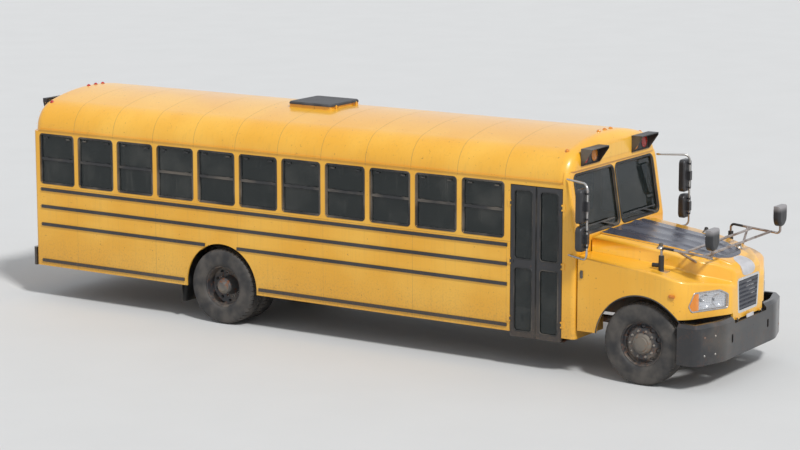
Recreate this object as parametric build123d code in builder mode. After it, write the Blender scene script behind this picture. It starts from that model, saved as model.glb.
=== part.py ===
from build123d import *
import os
from math import asin, atan2, cos, degrees, radians, sin

# School bus with a tilting hood ahead of the cab, at full size.
# Millimetres, +Z up, nose towards -Y, entrance door on the -X side, origin on the ground
# under the middle of the overall length.

# Overall size and stance
overall_length = 10820.0
body_width = 2438.0
wheelbase = 6452.0
front_overhang = 950.0
cowl_setback = 900.0
roof_top_z = 2985.0
skirt_z = 480.0
floor_z = 1060.0
sill_z = 1690.0
window_head_z = 2400.0

body_half = body_width / 2
nose_y = -overall_length / 2
tail_y = overall_length / 2
front_axle_y = nose_y + front_overhang
rear_axle_y = front_axle_y + wheelbase
cowl_y = front_axle_y + cowl_setback

# Clearances
panel_gap = 8.0
seat_gap = 0.3
shaft_clearance = 0.05

# Body shell
wall_thickness = 60.0
skirt_thickness = 25.0
cap_thickness = 40.0
shoulder_radius = 420.0
arch_rise = 529.0
crown_radius = ((body_half - shoulder_radius) ** 2 + arch_rise ** 2 - shoulder_radius ** 2) / (
    2 * (arch_rise - shoulder_radius))
front_corner_depth = 190.0
rear_corner_depth = 110.0
corner_round = 70.0
front_cap_depth = 620.0
rear_cap_depth = 420.0
cap_round = 150.0
windshield_rake = 140.0
windshield_base_z = 1760.0
windshield_head_z = 2600.0
glass_thickness = 6.0

# Windows and doors
window_pitch = 711.0
window_width = 615.0
window_cut = 28.0
driver_window_width = 690.0
front_section = 1000.0
door_width = 760.0
door_head_z = 2390.0
door_foot_z = 420.0
door_thickness = 40.0
rear_door_width = 900.0
rear_door_head_z = 2400.0

# Wheels
tyre_radius = 525.0
tyre_width = 279.0
rim_radius = 286.0
front_track = 2050.0
rear_track = 1830.0
twin_spacing = 330.0
kingpin_half = 880.0
pilot_radius = 110.0
axle_z = tyre_radius

# Chassis
rail_half = 432.0
rail_flange = 80.0
rail_web = 8.0
rail_height = 254.0
rail_top_z = 960.0
bumper_depth = 90.0
rear_bumper_depth = 70.0
rail_front_y = nose_y + bumper_depth
body_rear_y = tail_y - rear_bumper_depth
window_count = int((body_rear_y - cowl_y - front_section) // window_pitch)
rail_rear_y = body_rear_y - wall_thickness
rail_foot_z = rail_top_z - rail_height

# Hood
hood_gap = 22.0
hood_wall = 28.0
hood_rear_y = cowl_y - hood_gap
hood_front_y = front_axle_y - 905.0
fender_half = 1195.0
nose_half = 470.0
fender_corner_y = front_axle_y - 560.0
fender_foot_z = 600.0
lip_z = 895.0
nose_foot_z = 800.0
chin_half = 425.0
arch_radius = 620.0
bumper_low_z = 350.0
bumper_top_z = 860.0
recess_z = 780.0


def station(y):
    """Upright plane across the bus: drawn x is +X, drawn y is +Z, and -extrude goes aft."""
    return Plane(origin=(0, y, 0), x_dir=(1, 0, 0), z_dir=(0, -1, 0))


def lengthwise(x):
    """Upright plane along the bus: drawn x is +Y, drawn y is +Z, and extrude goes to +X."""
    return Plane(origin=(x, 0, 0), x_dir=(0, 1, 0), z_dir=(1, 0, 0))


def arch_points(inset):
    """Half width, spring height, shoulder end and crown height of the roof arch."""
    shoulder = shoulder_radius - inset
    crown = crown_radius - inset
    half = body_half - inset
    lean = asin((half - shoulder) / (crown - shoulder))
    end_x = crown * sin(lean)
    end_z = roof_top_z - crown_radius + crown * cos(lean)
    return half, end_z - shoulder * cos(lean), end_x, end_z


def tube(points, radius, bend=0.0):
    """A round tube along straight runs, with its corners bent to one radius."""
    with BuildPart() as run:
        with BuildLine() as path:
            if bend:
                FilletPolyline(*points, radius=bend)
            else:
                Polyline(*points)
        with BuildSketch(Plane(origin=path.line @ 0, z_dir=path.line % 0)):
            Circle(radius)
        sweep(path=path.line)
    return run.part


def cut_rectangle(width, height, cut):
    """Outline of a rectangle with its four corners cut off, as a list of points."""
    x, y = width / 2, height / 2
    return [(-x + cut, -y), (x - cut, -y), (x, -y + cut), (x, y - cut), (x - cut, y),
            (-x + cut, y), (-x, y - cut), (-x, -y + cut)]


eave_z = arch_points(0)[1] - 16.0


def arch_sketch(y, inset, foot_z):
    """Roof arch across the bus at y, closed by a flat line at foot_z and moved inward by inset."""
    half, spring_z, end_x, end_z = arch_points(inset)
    with BuildSketch(station(y), mode=Mode.PRIVATE) as arch:
        with BuildLine():
            Line((-half, spring_z), (-half, foot_z))
            Line((-half, foot_z), (half, foot_z))
            Line((half, foot_z), (half, spring_z))
            TangentArc((half, spring_z), (end_x, end_z), tangent=(0, 1))
            ThreePointArc((end_x, end_z), (0, roof_top_z - inset), (-end_x, end_z))
            TangentArc((-half, spring_z), (-end_x, end_z), tangent=(0, 1))
        make_face()
    return arch.sketch


# Butt hinges of the doors: the pin stands off the face that both plates lie on
hinge_stand = 8.0
hinge_barrel_radius = 7.0
hinge_bolt_radius = 3.5
hinge_plate_length = 45.0
hinge_barrel = 40.0
hinge_end = 20.0


def hinge_row(pin_x, pin_y, heights, along, inward, moving):
    """One half of a row of butt hinges: along points over the plate, inward to the face."""
    near = 0 if moving else hinge_barrel_radius + 1
    tall = hinge_barrel / 2 if moving else hinge_barrel / 2 + 1 + hinge_end
    with BuildPart() as row:
        for height in heights:
            frame = Plane(origin=(pin_x, pin_y, height), x_dir=along, z_dir=(0, 0, 1))
            lift = 1 if frame.y_dir.dot(Vector(*inward)) > 0 else -1
            with BuildSketch(frame.offset(-tall)):
                with Locations((near, 0)):
                    Rectangle(hinge_plate_length - near, hinge_stand,
                              align=(Align.MIN, Align.MIN if lift > 0 else Align.MAX))
            extrude(amount=2 * tall)
            if moving:
                with BuildSketch(frame.offset(-hinge_barrel / 2)):
                    Circle(hinge_barrel_radius)
                    Circle(hinge_bolt_radius + shaft_clearance, mode=Mode.SUBTRACT)
                extrude(amount=hinge_barrel)
                with BuildSketch(frame.offset(-hinge_barrel / 2)):
                    Circle(hinge_bolt_radius + shaft_clearance)
                extrude(amount=hinge_barrel, mode=Mode.SUBTRACT)
                continue
            for end in (-1, 1):
                with BuildSketch(frame.offset(end * (hinge_barrel / 2 + 1))):
                    Circle(hinge_barrel_radius)
                    Rectangle(near + 1, hinge_stand,
                              align=(Align.MIN, Align.MIN if lift > 0 else Align.MAX))
                extrude(amount=end * hinge_end)
            with BuildSketch(frame.offset(-tall)):
                Circle(hinge_bolt_radius)
            extrude(amount=2 * tall)
    return row.part


door_hinge_z = [650.0, 1400.0, 2150.0]
rear_hinge_z = [1250.0, 1730.0, 2210.0]
door_hinge_x = -body_half - hinge_stand
door_front_y = cowl_y + front_corner_depth
door_rear_y = door_front_y + door_width
rear_hinge_x = -rear_door_width / 2 + panel_gap
rear_hinge_y = body_rear_y + hinge_stand

os.makedirs("parts", exist_ok=True)

# Ladder frame: two rails of channel section joined by cross members.
# Cross member columns: y of the middle, height of the middle, depth along z.
rail_mid_z = rail_top_z - rail_height / 2
radiator_y = front_axle_y - 665.0
radiator_low_z = rail_foot_z + 78.0
cross_members = [(radiator_y, rail_foot_z + 43, 70.0)]
member_pitch = 1400.0
member_count = int((rail_rear_y - front_axle_y - 100) // member_pitch)
cross_members += [(front_axle_y + (index + 1) * member_pitch, rail_mid_z, 190.0)
                  for index in range(member_count)]
with BuildPart() as frame_rails:
    with BuildSketch(station(rail_front_y)):
        for side in (-1, 1):
            with Locations((side * (rail_half - rail_flange / 2), rail_mid_z)):
                Rectangle(rail_flange, rail_height)
            with Locations((side * (rail_half - rail_flange / 2 - rail_web), rail_mid_z)):
                Rectangle(rail_flange, rail_height - 2 * rail_web, mode=Mode.SUBTRACT)
    extrude(amount=-(rail_rear_y - rail_front_y))
    for member_y, member_z, member_height in cross_members:
        with Locations((0, member_y, member_z)):
            Box(2 * (rail_half - rail_web), 70, member_height)
frame_rails.part.label = "frame_rails"
export_step(frame_rails.part, "parts/frame_rails.step")

# Engine block and radiator, carried between the rails under the hood
engine_length = 1050.0
engine_width = 620.0
engine_top_z = 1430.0
engine_front_y = front_axle_y - 330.0
# Half section from the sump to the head: half width, height
engine_section = [(170.0, 640.0), (engine_width / 2, 900.0), (engine_width / 2, 1200.0),
                  (180.0, engine_top_z)]
with BuildPart() as engine:
    with BuildSketch(station(engine_front_y)):
        with BuildLine():
            Polyline(*engine_section,
                     *[(-half, height) for half, height in reversed(engine_section)], close=True)
        make_face()
    extrude(amount=-engine_length)
engine.part.label = "engine"
export_step(engine.part, "parts/engine.step")

radiator_high_z = 1300.0
radiator_depth = 110.0
radiator_width = 2 * (rail_half - rail_flange) - 10
with BuildPart() as radiator:
    with BuildSketch(station(radiator_y - radiator_depth / 2)):
        with Locations((0, radiator_low_z)):
            Rectangle(radiator_width, radiator_high_z - radiator_low_z,
                      align=(Align.CENTER, Align.MIN))
    extrude(amount=-radiator_depth)
radiator.part.label = "radiator"
export_step(radiator.part, "parts/radiator.step")

# Hood: a moulded shell of two fenders joined by a raised centre with a tongue along its top.
# Plan columns: half width, y, corner radius; side columns: y, z, corner radius.
fender_plan = [(nose_half, hood_front_y, 260), (fender_half, fender_corner_y, 330)]
fender_side = [(hood_rear_y, 1565, 0), (front_axle_y - 250, 1445, 600),
               (front_axle_y - 690, 1335, 240), (hood_front_y, 1265, 100)]
centre_plan = [(360, hood_front_y, 120), (700, front_axle_y - 520, 500)]
centre_side = [(hood_rear_y, 1745, 0), (front_axle_y - 150, 1635, 1500),
               (front_axle_y - 700, 1520, 420), (hood_front_y, 1425, 150)]
tongue_plan = [(250, hood_front_y + 25, 180), (480, front_axle_y - 300, 500)]
tongue_rise = 20.0
centre_rear_half = 830.0
tongue_rear_half = 600.0


def hood_layer(plan, side, rear_half, inset, rise=0.0):
    """One layer of the hood: its plan outline carried up and cut by its side profile."""
    rear_y = hood_rear_y + 2 * inset
    foot_z = fender_foot_z - 200 - 2 * inset
    with BuildPart() as layer:
        with BuildSketch(Plane.XY.offset(foot_z)):
            with BuildLine():
                corners = [(half, y) for half, y, _ in plan]
                radii = [radius for _, _, radius in plan]
                FilletPolyline((0, plan[0][1]), *corners, (rear_half, rear_y), radius=radii)
                Polyline((rear_half, rear_y), (0, rear_y), (0, plan[0][1]))
            make_face()
            mirror(about=Plane.YZ)
            if inset:
                offset(amount=-inset)
        extrude(amount=1800)
        with BuildSketch(lengthwise(0)):
            with BuildLine():
                corners = [(y, z + rise) for y, z, _ in side[1:]]
                radii = [radius for _, _, radius in side[1:]]
                slope = (side[0][1] - side[1][1]) / (side[0][0] - side[1][0])
                rear_z = side[0][1] + rise + slope * 2 * inset
                FilletPolyline((rear_y, rear_z), *corners, (side[-1][0], foot_z), radius=radii)
                Polyline((side[-1][0], foot_z), (rear_y, foot_z), (rear_y, rear_z))
            make_face()
            if inset:
                offset(amount=-inset)
        extrude(amount=body_width, both=True, mode=Mode.INTERSECT, clean=False)
    return layer.part


def hood_form(inset):
    """The hood's outer shape, or with an inset the hollow under it."""
    with BuildPart() as form:
        add(hood_layer(fender_plan, fender_side, fender_half, inset))
        add(hood_layer(centre_plan, centre_side, centre_rear_half, inset))
        add(hood_layer(tongue_plan, centre_side, tongue_rear_half, inset, tongue_rise))
    return form.part


# Openings in the nose, as drawn from the front: half widths and heights
grille_half = 320.0
grille_foot_half = 280.0
grille_low_z = 862.0
grille_high_z = 1310.0
lamp_outline = [(520, 985), (520, 1160), (640, 1222), (1010, 1222), (1075, 1060), (1040, 985)]
lamp_round = 28.0
lamp_cut_depth = 520.0
grille_round = 45.0
grille_cut_depth = 300.0


def lamp_sketch(side, inset):
    """Headlamp outline seen from the front, moved inward by inset."""
    with BuildSketch(station(hood_front_y - 100), mode=Mode.PRIVATE) as outline:
        with BuildLine():
            Polyline(*[(side * x, z) for x, z in lamp_outline], close=True)
        make_face()
        fillet(outline.vertices(), lamp_round)
        if inset:
            offset(amount=-inset)
    return outline.sketch


def grille_sketch(inset):
    """Grille outline seen from the front, moved inward by inset."""
    with BuildSketch(station(hood_front_y), mode=Mode.PRIVATE) as outline:
        with BuildLine():
            Polyline((-grille_foot_half, grille_low_z), (grille_foot_half, grille_low_z),
                     (grille_half, grille_high_z), (-grille_half, grille_high_z), close=True)
        make_face()
        fillet(outline.vertices(), grille_round)
        if inset:
            offset(amount=-inset)
    return outline.sketch


# The hood tilts forward on a pin at each side of the nose, just ahead of its lower edge
hinge_y = hood_front_y - 18.0
hinge_z = nose_foot_z + 12.0
hinge_x = 330.0
hinge_pin_radius = 7.0
hinge_lug_radius = 13.0
hinge_lug_width = 30.0
hood_outer = hood_form(0)
with BuildPart() as hood:
    add(hood_outer)
    add(hood_form(hood_wall), mode=Mode.SUBTRACT)
    with BuildSketch(lengthwise(-body_half)):
        with Locations((front_axle_y, axle_z)):
            Circle(arch_radius)
    extrude(amount=body_width, mode=Mode.SUBTRACT)
    # The lower edge: the fender's foot behind the wheel, the nose and, beside it, the lip
    with BuildSketch(lengthwise(-body_half)):
        with BuildLine():
            Polyline((nose_y, nose_foot_z), (front_axle_y, nose_foot_z),
                     (front_axle_y, fender_foot_z), (cowl_y, fender_foot_z), (cowl_y, 0),
                     (nose_y, 0), close=True)
        make_face()
    extrude(amount=body_width, mode=Mode.SUBTRACT)
    with BuildSketch(Plane.XY.offset(lip_z)):
        for side in (-1, 1):
            with Locations((side * chin_half, front_axle_y)):
                Rectangle(body_half, front_overhang,
                          align=(Align.MIN if side > 0 else Align.MAX, Align.MAX))
    extrude(amount=-lip_z, mode=Mode.SUBTRACT)
    extrude(grille_sketch(0), amount=-grille_cut_depth, mode=Mode.SUBTRACT)
    for side in (-1, 1):
        extrude(lamp_sketch(side, 0), amount=-lamp_cut_depth, mode=Mode.SUBTRACT)
    for side in (-1, 1):
        with BuildSketch(lengthwise(side * (hinge_x - hinge_lug_width / 2) - hinge_lug_width / 2)):
            with Locations((hinge_y, hinge_z)):
                Circle(hinge_lug_radius)
                Rectangle(hood_front_y - hinge_y + hood_wall, 2 * hinge_lug_radius - 2,
                          align=(Align.MIN, Align.CENTER))
        extrude(amount=hinge_lug_width)
        with Locations((side * hinge_x, hinge_y, hinge_z)):
            Cylinder(hinge_pin_radius, 2 * hinge_lug_width, rotation=(0, 90, 0))
hood.part.label = "hood"
export_step(hood.part, "parts/hood.step")

# Grille: a bright surround with slats across it, set in the nose opening
grille_depth = 34.0
grille_rim = 34.0
slat_count = 7
slat_height = 27.0
slat_end_gap = 20.0
with BuildPart() as grille:
    extrude(grille_sketch(seat_gap), amount=-grille_depth)
    extrude(grille_sketch(grille_rim), amount=-grille_depth, mode=Mode.SUBTRACT)
    slat_pitch = (grille_high_z - grille_low_z - 2 * grille_rim) / slat_count
    with BuildSketch(station(hood_front_y)):
        for row in range(slat_count):
            slat_z = grille_low_z + grille_rim + (row + 0.5) * slat_pitch
            lean = (slat_z - grille_low_z) / (grille_high_z - grille_low_z)
            slat_half = grille_foot_half + (grille_half - grille_foot_half) * lean - slat_end_gap
            with Locations((0, slat_z)):
                Rectangle(2 * slat_half, slat_height)
    extrude(amount=-hood_wall)
grille.part.label = "grille"
export_step(grille.part, "parts/grille.step")

# Headlamps: one block behind each opening, its lens flush with the hood
lamp_depth = 85.0
lamp_core = hood_form(lamp_depth)
with BuildPart() as headlamps:
    for side in (-1, 1):
        extrude(lamp_sketch(side, seat_gap), amount=-lamp_cut_depth)
    add(hood_outer, mode=Mode.INTERSECT)
    add(lamp_core, mode=Mode.SUBTRACT)
headlamps.part.label = "headlamps"
export_step(headlamps.part, "parts/headlamps.step")

# Crossview mirrors: a tube frame on each fender, linked across the hood
tube_radius = 16.0
frame_base_y = front_axle_y - 180
frame_base_x = 985.0
frame_top_z = 1740.0
frame_head_y = nose_y + 75
head_foot_z = 1775.0
head_width = 240.0
head_height = 270.0
head_depth = 90.0
head_round = 38.0
frame_foot_z = 1452.0
clamp_radius = 34.0
clamp_height = 190.0
clamp_arm_length = 120.0
clamp_arm_radius = clamp_radius - 8
base_width = 110.0
base_length = 190.0
base_height = 300.0
frame_bend = 45.0
brace_y = front_axle_y - 420
# Feet of the brace and of the stay on the hood's centre: x, y, z on the left side
brace_foot = (420.0, front_axle_y - 560, 1400.0)
stay_foot = (640.0, frame_base_y + 190, 1500.0)
with BuildPart() as crossview_frames:
    for side in (-1, 1):
        base_x = side * frame_base_x
        add(tube([(base_x, frame_base_y, 1300), (base_x, frame_base_y, frame_top_z),
                  (base_x, frame_head_y, frame_top_z - 60),
                  (base_x, frame_head_y, head_foot_z)], tube_radius, frame_bend))
        add(tube([(base_x, brace_y, frame_top_z - 26),
                  (side * brace_foot[0], *brace_foot[1:])], tube_radius))
        add(tube([(base_x, frame_base_y, frame_top_z - 160),
                  (side * stay_foot[0], *stay_foot[1:])], tube_radius))
    # Cross tubes: distance ahead of the brace, drop below the frame's top
    for ahead, drop in ((60, 32), (330, 45)):
        with Locations((0, brace_y - ahead, frame_top_z - drop)):
            Cylinder(tube_radius, 2 * frame_base_x, rotation=(0, 90, 0))
    for side in (-1, 1):
        with Locations((side * frame_base_x, frame_base_y, frame_foot_z)):
            Box(base_width, base_length, base_height,
                align=(Align.CENTER, Align.CENTER, Align.MAX))
            Cylinder(clamp_radius, clamp_height,
                     align=(Align.CENTER, Align.CENTER, Align.MIN))
        with Locations((side * frame_base_x, frame_base_y, frame_foot_z + clamp_height / 3)):
            Cylinder(clamp_arm_radius, clamp_arm_length, rotation=(-90, 0, 0),
                     align=(Align.CENTER, Align.CENTER, Align.MIN))
    add(hood_outer, mode=Mode.SUBTRACT)
    # Whatever of the bases reaches through into the hollow is cut off
    with Locations((0, 0, 1100)):
        Box(2 * body_width, 2 * overall_length, 300, mode=Mode.SUBTRACT)
crossview_frames.part.label = "crossview_frames"
export_step(crossview_frames.part, "parts/crossview_frames.step")

with BuildPart() as crossview_heads:
    with BuildSketch(station(frame_head_y + head_depth / 2)):
        for side in (-1, 1):
            with Locations((side * frame_base_x, head_foot_z + head_width / 2)):
                Circle(head_width / 2)
                Rectangle(head_width, head_height - head_width / 2,
                          align=(Align.CENTER, Align.MIN))
    extrude(amount=head_depth)
    fillet(crossview_heads.faces().sort_by(Axis.Y)[:2].edges(), head_round)
crossview_heads.part.label = "crossview_heads"
export_step(crossview_heads.part, "parts/crossview_heads.step")


# Front bumper: a deep wrap-round channel with a recess for the nose
bumper_plate = 12.0
bumper_wrap = 420.0
recess_half = 460.0
bumper_slope = 42.0
bumper_flat_half = 760.0
bumper_sweep = 150.0
bumper_rounds = [600.0, 110.0]


def bumper_block(inset, low_z, high_z, slope):
    """The bumper's plan outline moved inward by inset, with its upper edge sloped off."""
    with BuildPart() as block:
        with BuildSketch(Plane.XY.offset(low_z)):
            with BuildLine():
                rear_y = nose_y + bumper_wrap + 2 * inset
                FilletPolyline((0, nose_y), (bumper_flat_half, nose_y),
                               (body_half, nose_y + bumper_sweep), (body_half, rear_y),
                               radius=bumper_rounds)
                Polyline((body_half, rear_y), (0, rear_y), (0, nose_y))
            make_face()
            mirror(about=Plane.YZ)
            if inset:
                offset(amount=-inset)
        extrude(amount=high_z - low_z)
        if slope:
            rim = block.edges().group_by(Axis.Z)[-1]
            chamfer(rim.filter_by(lambda edge: edge.center().Y < rear_y - 1), slope)
        with Locations((0, nose_y, recess_z + high_z - bumper_top_z)):
            Box(2 * (recess_half + inset), 4 * bumper_wrap, 400, mode=Mode.SUBTRACT,
                align=(Align.CENTER, Align.CENTER, Align.MIN))
    return block.part


hinge_bracket_width = 20.0
plate_z = 600.0
plate_hole_x = 177.8
plate_hole_z = 120.65
plate_hole_radius = 3.5
tow_slot_x = 520.0
tow_slot_height = 110.0
tow_slot_width = 46.0
with BuildPart() as front_bumper:
    add(bumper_block(0, bumper_low_z, bumper_top_z, bumper_slope))
    add(bumper_block(bumper_plate, bumper_low_z + bumper_plate, bumper_top_z - bumper_plate,
                     bumper_slope), mode=Mode.SUBTRACT)
    add(bumper_block(bumper_depth, bumper_low_z, bumper_top_z + 400, 0), mode=Mode.SUBTRACT)
    with BuildSketch(station(nose_y - 10)):
        with Locations((-tow_slot_x, plate_z), (tow_slot_x, plate_z)):
            SlotOverall(tow_slot_height, tow_slot_width, rotation=90)
        with Locations((0, plate_z)):
            with GridLocations(plate_hole_x, plate_hole_z, 2, 2):
                Circle(plate_hole_radius)
    extrude(amount=-60, mode=Mode.SUBTRACT)
    for side in (-1, 1):
        with Locations((side * (rail_half - rail_flange / 2), nose_y + bumper_plate, rail_foot_z)):
            Box(rail_flange, rail_front_y - nose_y - bumper_plate, 60,
                align=(Align.CENTER, Align.MIN, Align.MIN))
        # Lug for the hood's hinge pin, standing on the recess
        bracket_x = side * (hinge_x + hinge_bracket_width / 2 + 4)
        with BuildSketch(lengthwise(bracket_x - hinge_bracket_width / 2)):
            with Locations((hinge_y, hinge_z)):
                Circle(hinge_lug_radius)
            with Locations((hinge_y, recess_z)):
                Rectangle(2 * hinge_lug_radius, hinge_z - recess_z,
                          align=(Align.CENTER, Align.MIN))
            with Locations((hinge_y, hinge_z)):
                Circle(hinge_pin_radius + shaft_clearance, mode=Mode.SUBTRACT)
        extrude(amount=hinge_bracket_width)
front_bumper.part.label = "front_bumper"
export_step(front_bumper.part, "parts/front_bumper.step")

# Rear bumper: a straight channel across the tail
rear_bumper_z = 470.0
rear_bumper_height = 260.0
rear_bumper_round = 45.0
rear_bumper_end = 60.0
with BuildPart() as rear_bumper:
    with Locations((0, body_rear_y, rear_bumper_z)):
        Box(body_width - 20, rear_bumper_depth, rear_bumper_height,
            align=(Align.CENTER, Align.MIN, Align.MIN))
    fillet(rear_bumper.edges().filter_by(Axis.Z).group_by(Axis.Y)[-1], rear_bumper_round)
    with Locations((0, body_rear_y, rear_bumper_z + bumper_plate)):
        Box(body_width - 2 * rear_bumper_end, rear_bumper_depth - bumper_plate,
            rear_bumper_height - 2 * bumper_plate, mode=Mode.SUBTRACT,
            align=(Align.CENTER, Align.MIN, Align.MIN))
rear_bumper.part.label = "rear_bumper"
export_step(rear_bumper.part, "parts/rear_bumper.step")

# Floor: a flat deck on cross bearers, with the step well and a house over each rear wheel pair
floor_thickness = 60.0
bearer_height = floor_z - floor_thickness - rail_top_z
tread_heights = [430.0, 640.0, 850.0]
tread_depth = 240.0
step_plate = 14.0
floor_front_y = cowl_y + wall_thickness
floor_rear_y = body_rear_y - wall_thickness
wheel_house_half = 640.0
wheel_house_top_z = 1180.0
wheel_house_depth = 640.0
wheel_house_wall = 20.0
first_bearer_y = cowl_y + 420
bearer_width = 60.0
well_depth = 3 * tread_depth
with BuildPart() as floor:
    with Locations((0, floor_front_y, floor_z - floor_thickness)):
        Box(2 * (body_half - wall_thickness), floor_rear_y - floor_front_y, floor_thickness,
            align=(Align.CENTER, Align.MIN, Align.MIN))
    for index in range(window_count + 1):
        with Locations((0, first_bearer_y + index * window_pitch, rail_top_z)):
            Box(2 * (body_half - wall_thickness) - 20, bearer_width, bearer_height,
                align=(Align.CENTER, Align.CENTER, Align.MIN))
    for side in (-1, 1):
        with Locations((side * (body_half - wall_thickness), rear_axle_y, 0)):
            Box(2 * (wheel_house_depth - wall_thickness), 2 * wheel_house_half, wheel_house_top_z,
                align=(Align.CENTER, Align.CENTER, Align.MIN))
            Box(2 * (wheel_house_depth - wall_thickness - wheel_house_wall),
                2 * (wheel_house_half - wheel_house_wall),
                wheel_house_top_z - wheel_house_wall, mode=Mode.SUBTRACT,
                align=(Align.CENTER, Align.CENTER, Align.MIN))
        with Locations((side * (body_half - wall_thickness), rear_axle_y, 0)):
            Box(2 * body_half, 2 * wheel_house_half + 200, rail_top_z - 60, mode=Mode.SUBTRACT,
                align=(Align.CENTER, Align.CENTER, Align.MIN))
        with Locations((side * (body_half - wall_thickness), rear_axle_y, 0)):
            Box(1200, 4000, 4000, mode=Mode.SUBTRACT,
                align=(Align.MIN if side > 0 else Align.MAX, Align.CENTER, Align.MIN))
    # Step well inside the entrance door
    well_x = -body_half + door_thickness + panel_gap
    with Locations((well_x, door_front_y, 0)):
        Box(well_depth, door_width, 2 * floor_z, mode=Mode.SUBTRACT,
            align=(Align.MIN, Align.MIN, Align.MIN))
        Box(well_depth + step_plate, door_width, floor_z - floor_thickness, mode=Mode.SUBTRACT,
            align=(Align.MIN, Align.MIN, Align.MIN))
floor.part.label = "floor"
export_step(floor.part, "parts/floor.step")

# Step well: three treads and their risers in one folded plate
with BuildPart() as step_well:
    with BuildSketch(station(door_front_y)):
        with BuildLine():
            steps = [(well_x, tread_heights[0] - step_plate), (well_x, tread_heights[0])]
            for index, height in enumerate(tread_heights):
                edge_x = well_x + (index + 1) * tread_depth
                above = (tread_heights + [floor_z])[index + 1]
                steps.append((edge_x, height))
                steps.append((edge_x, above))
            steps[-1] = (well_x + well_depth, floor_z - floor_thickness)
            steps.append((well_x + well_depth + step_plate, floor_z - floor_thickness))
            for index in reversed(range(3)):
                edge_x = well_x + (index + 1) * tread_depth + step_plate
                steps.append((edge_x, tread_heights[index] - step_plate))
            Polyline(*steps, close=True)
        make_face()
    extrude(amount=-door_width)
step_well.part.label = "step_well"
export_step(step_well.part, "parts/step_well.step")

# Side walls: skirt, wall and window openings, one long panel each side
wall_front_y = cowl_y + front_corner_depth
wall_rear_y = body_rear_y - rear_corner_depth
first_window_y = cowl_y + front_section + window_pitch / 2
window_height = window_head_z - sill_z
window_mid_z = (window_head_z + sill_z) / 2
window_centres = [first_window_y + index * window_pitch for index in range(window_count)]
driver_window_y = cowl_y + front_corner_depth + wall_thickness + driver_window_width / 2
wheel_arch_radius = 600.0
for side, name in ((-1, "side_wall_right"), (1, "side_wall_left")):
    with BuildPart() as side_wall:
        with BuildSketch(station(wall_front_y)):
            with BuildLine():
                Polyline((side * body_half, skirt_z), (side * body_half, eave_z),
                         (side * (body_half - wall_thickness), eave_z),
                         (side * (body_half - wall_thickness), floor_z - floor_thickness),
                         (side * (body_half - skirt_thickness), floor_z - floor_thickness),
                         (side * (body_half - skirt_thickness), skirt_z), close=True)
            make_face()
        extrude(amount=-(wall_rear_y - wall_front_y))
        with BuildSketch(lengthwise(-body_width)):
            with Locations(*[(y, window_mid_z) for y in window_centres]):
                Polygon(*cut_rectangle(window_width, window_height, window_cut))
            with Locations((rear_axle_y, axle_z)):
                Circle(wheel_arch_radius)
            if side > 0:
                with Locations((driver_window_y, window_mid_z)):
                    Polygon(*cut_rectangle(driver_window_width, window_height, window_cut))
            else:
                with Locations((door_front_y, 0)):
                    Rectangle(door_width, door_head_z, align=(Align.MIN, Align.MIN))
        extrude(amount=2 * body_width, mode=Mode.SUBTRACT)
        if side < 0:
            add(hinge_row(door_hinge_x, door_rear_y - panel_gap, door_hinge_z, (0, 1, 0),
                          (1, 0, 0), False))
    side_wall.part.label = name
    export_step(side_wall.part, f"parts/{name}.step")

# Roof between the two caps, with the opening of the escape hatch
roof_front_y = cowl_y + front_cap_depth
roof_rear_y = body_rear_y - rear_cap_depth
hatch_y = 1100.0
hatch_size = 620.0
hatch_curb = 30.0
hatch_curb_wall = 30.0
hatch_curb_sink = 120.0
lid_overhang = 50.0
hatch_hinge_x = 200.0
hatch_barrel = 60.0
hatch_hinge_y = hatch_y - hatch_size / 2 - lid_overhang - hinge_barrel_radius - 2
hatch_hinge_z = roof_top_z + hatch_curb + hinge_barrel_radius + 2
roof_skin = 50.0
with BuildPart() as roof:
    roof_length = roof_rear_y - roof_front_y
    extrude(arch_sketch(roof_front_y, 0, eave_z), amount=-roof_length)
    extrude(arch_sketch(roof_front_y, roof_skin, eave_z - 100), amount=-roof_length,
            mode=Mode.SUBTRACT)
    with Locations((0, hatch_y, roof_top_z - hatch_curb_sink)):
        Box(hatch_size + 2 * hatch_curb_wall, hatch_size + 2 * hatch_curb_wall,
            hatch_curb_sink + hatch_curb, align=(Align.CENTER, Align.CENTER, Align.MIN))
        Box(hatch_size, hatch_size, 400, mode=Mode.SUBTRACT)
    # Lugs of the hatch's hinge, each with its pin towards the lid's barrel
    with BuildSketch(lengthwise(-hatch_hinge_x - hatch_barrel / 2 - 1)):
        with Locations((hatch_hinge_y, hatch_hinge_z)):
            Circle(hinge_barrel_radius)
            Rectangle(2 * hinge_barrel_radius, hatch_hinge_z - roof_top_z + 30,
                      align=(Align.CENTER, Align.MAX))
    extrude(amount=-hinge_end)
    with BuildSketch(lengthwise(hatch_hinge_x + hatch_barrel / 2 + 1)):
        with Locations((hatch_hinge_y, hatch_hinge_z)):
            Circle(hinge_barrel_radius)
            Rectangle(2 * hinge_barrel_radius, hatch_hinge_z - roof_top_z + 30,
                      align=(Align.CENTER, Align.MAX))
    extrude(amount=hinge_end)
    for side in (-1, 1):
        with Locations((side * (hatch_hinge_x + hatch_barrel / 2 + 2), hatch_hinge_y,
                        hatch_hinge_z)):
            Cylinder(hinge_bolt_radius, hatch_barrel + 2, rotation=(0, 90, 0),
                     align=(Align.CENTER, Align.CENTER, Align.MAX if side > 0 else Align.MIN))
roof.part.label = "roof"
export_step(roof.part, "parts/roof.step")

# Roof caps: the moulded ends of the roof, rounded over towards the nose and the tail
cap_front_y = cowl_y + windshield_rake - 30.0


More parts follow.
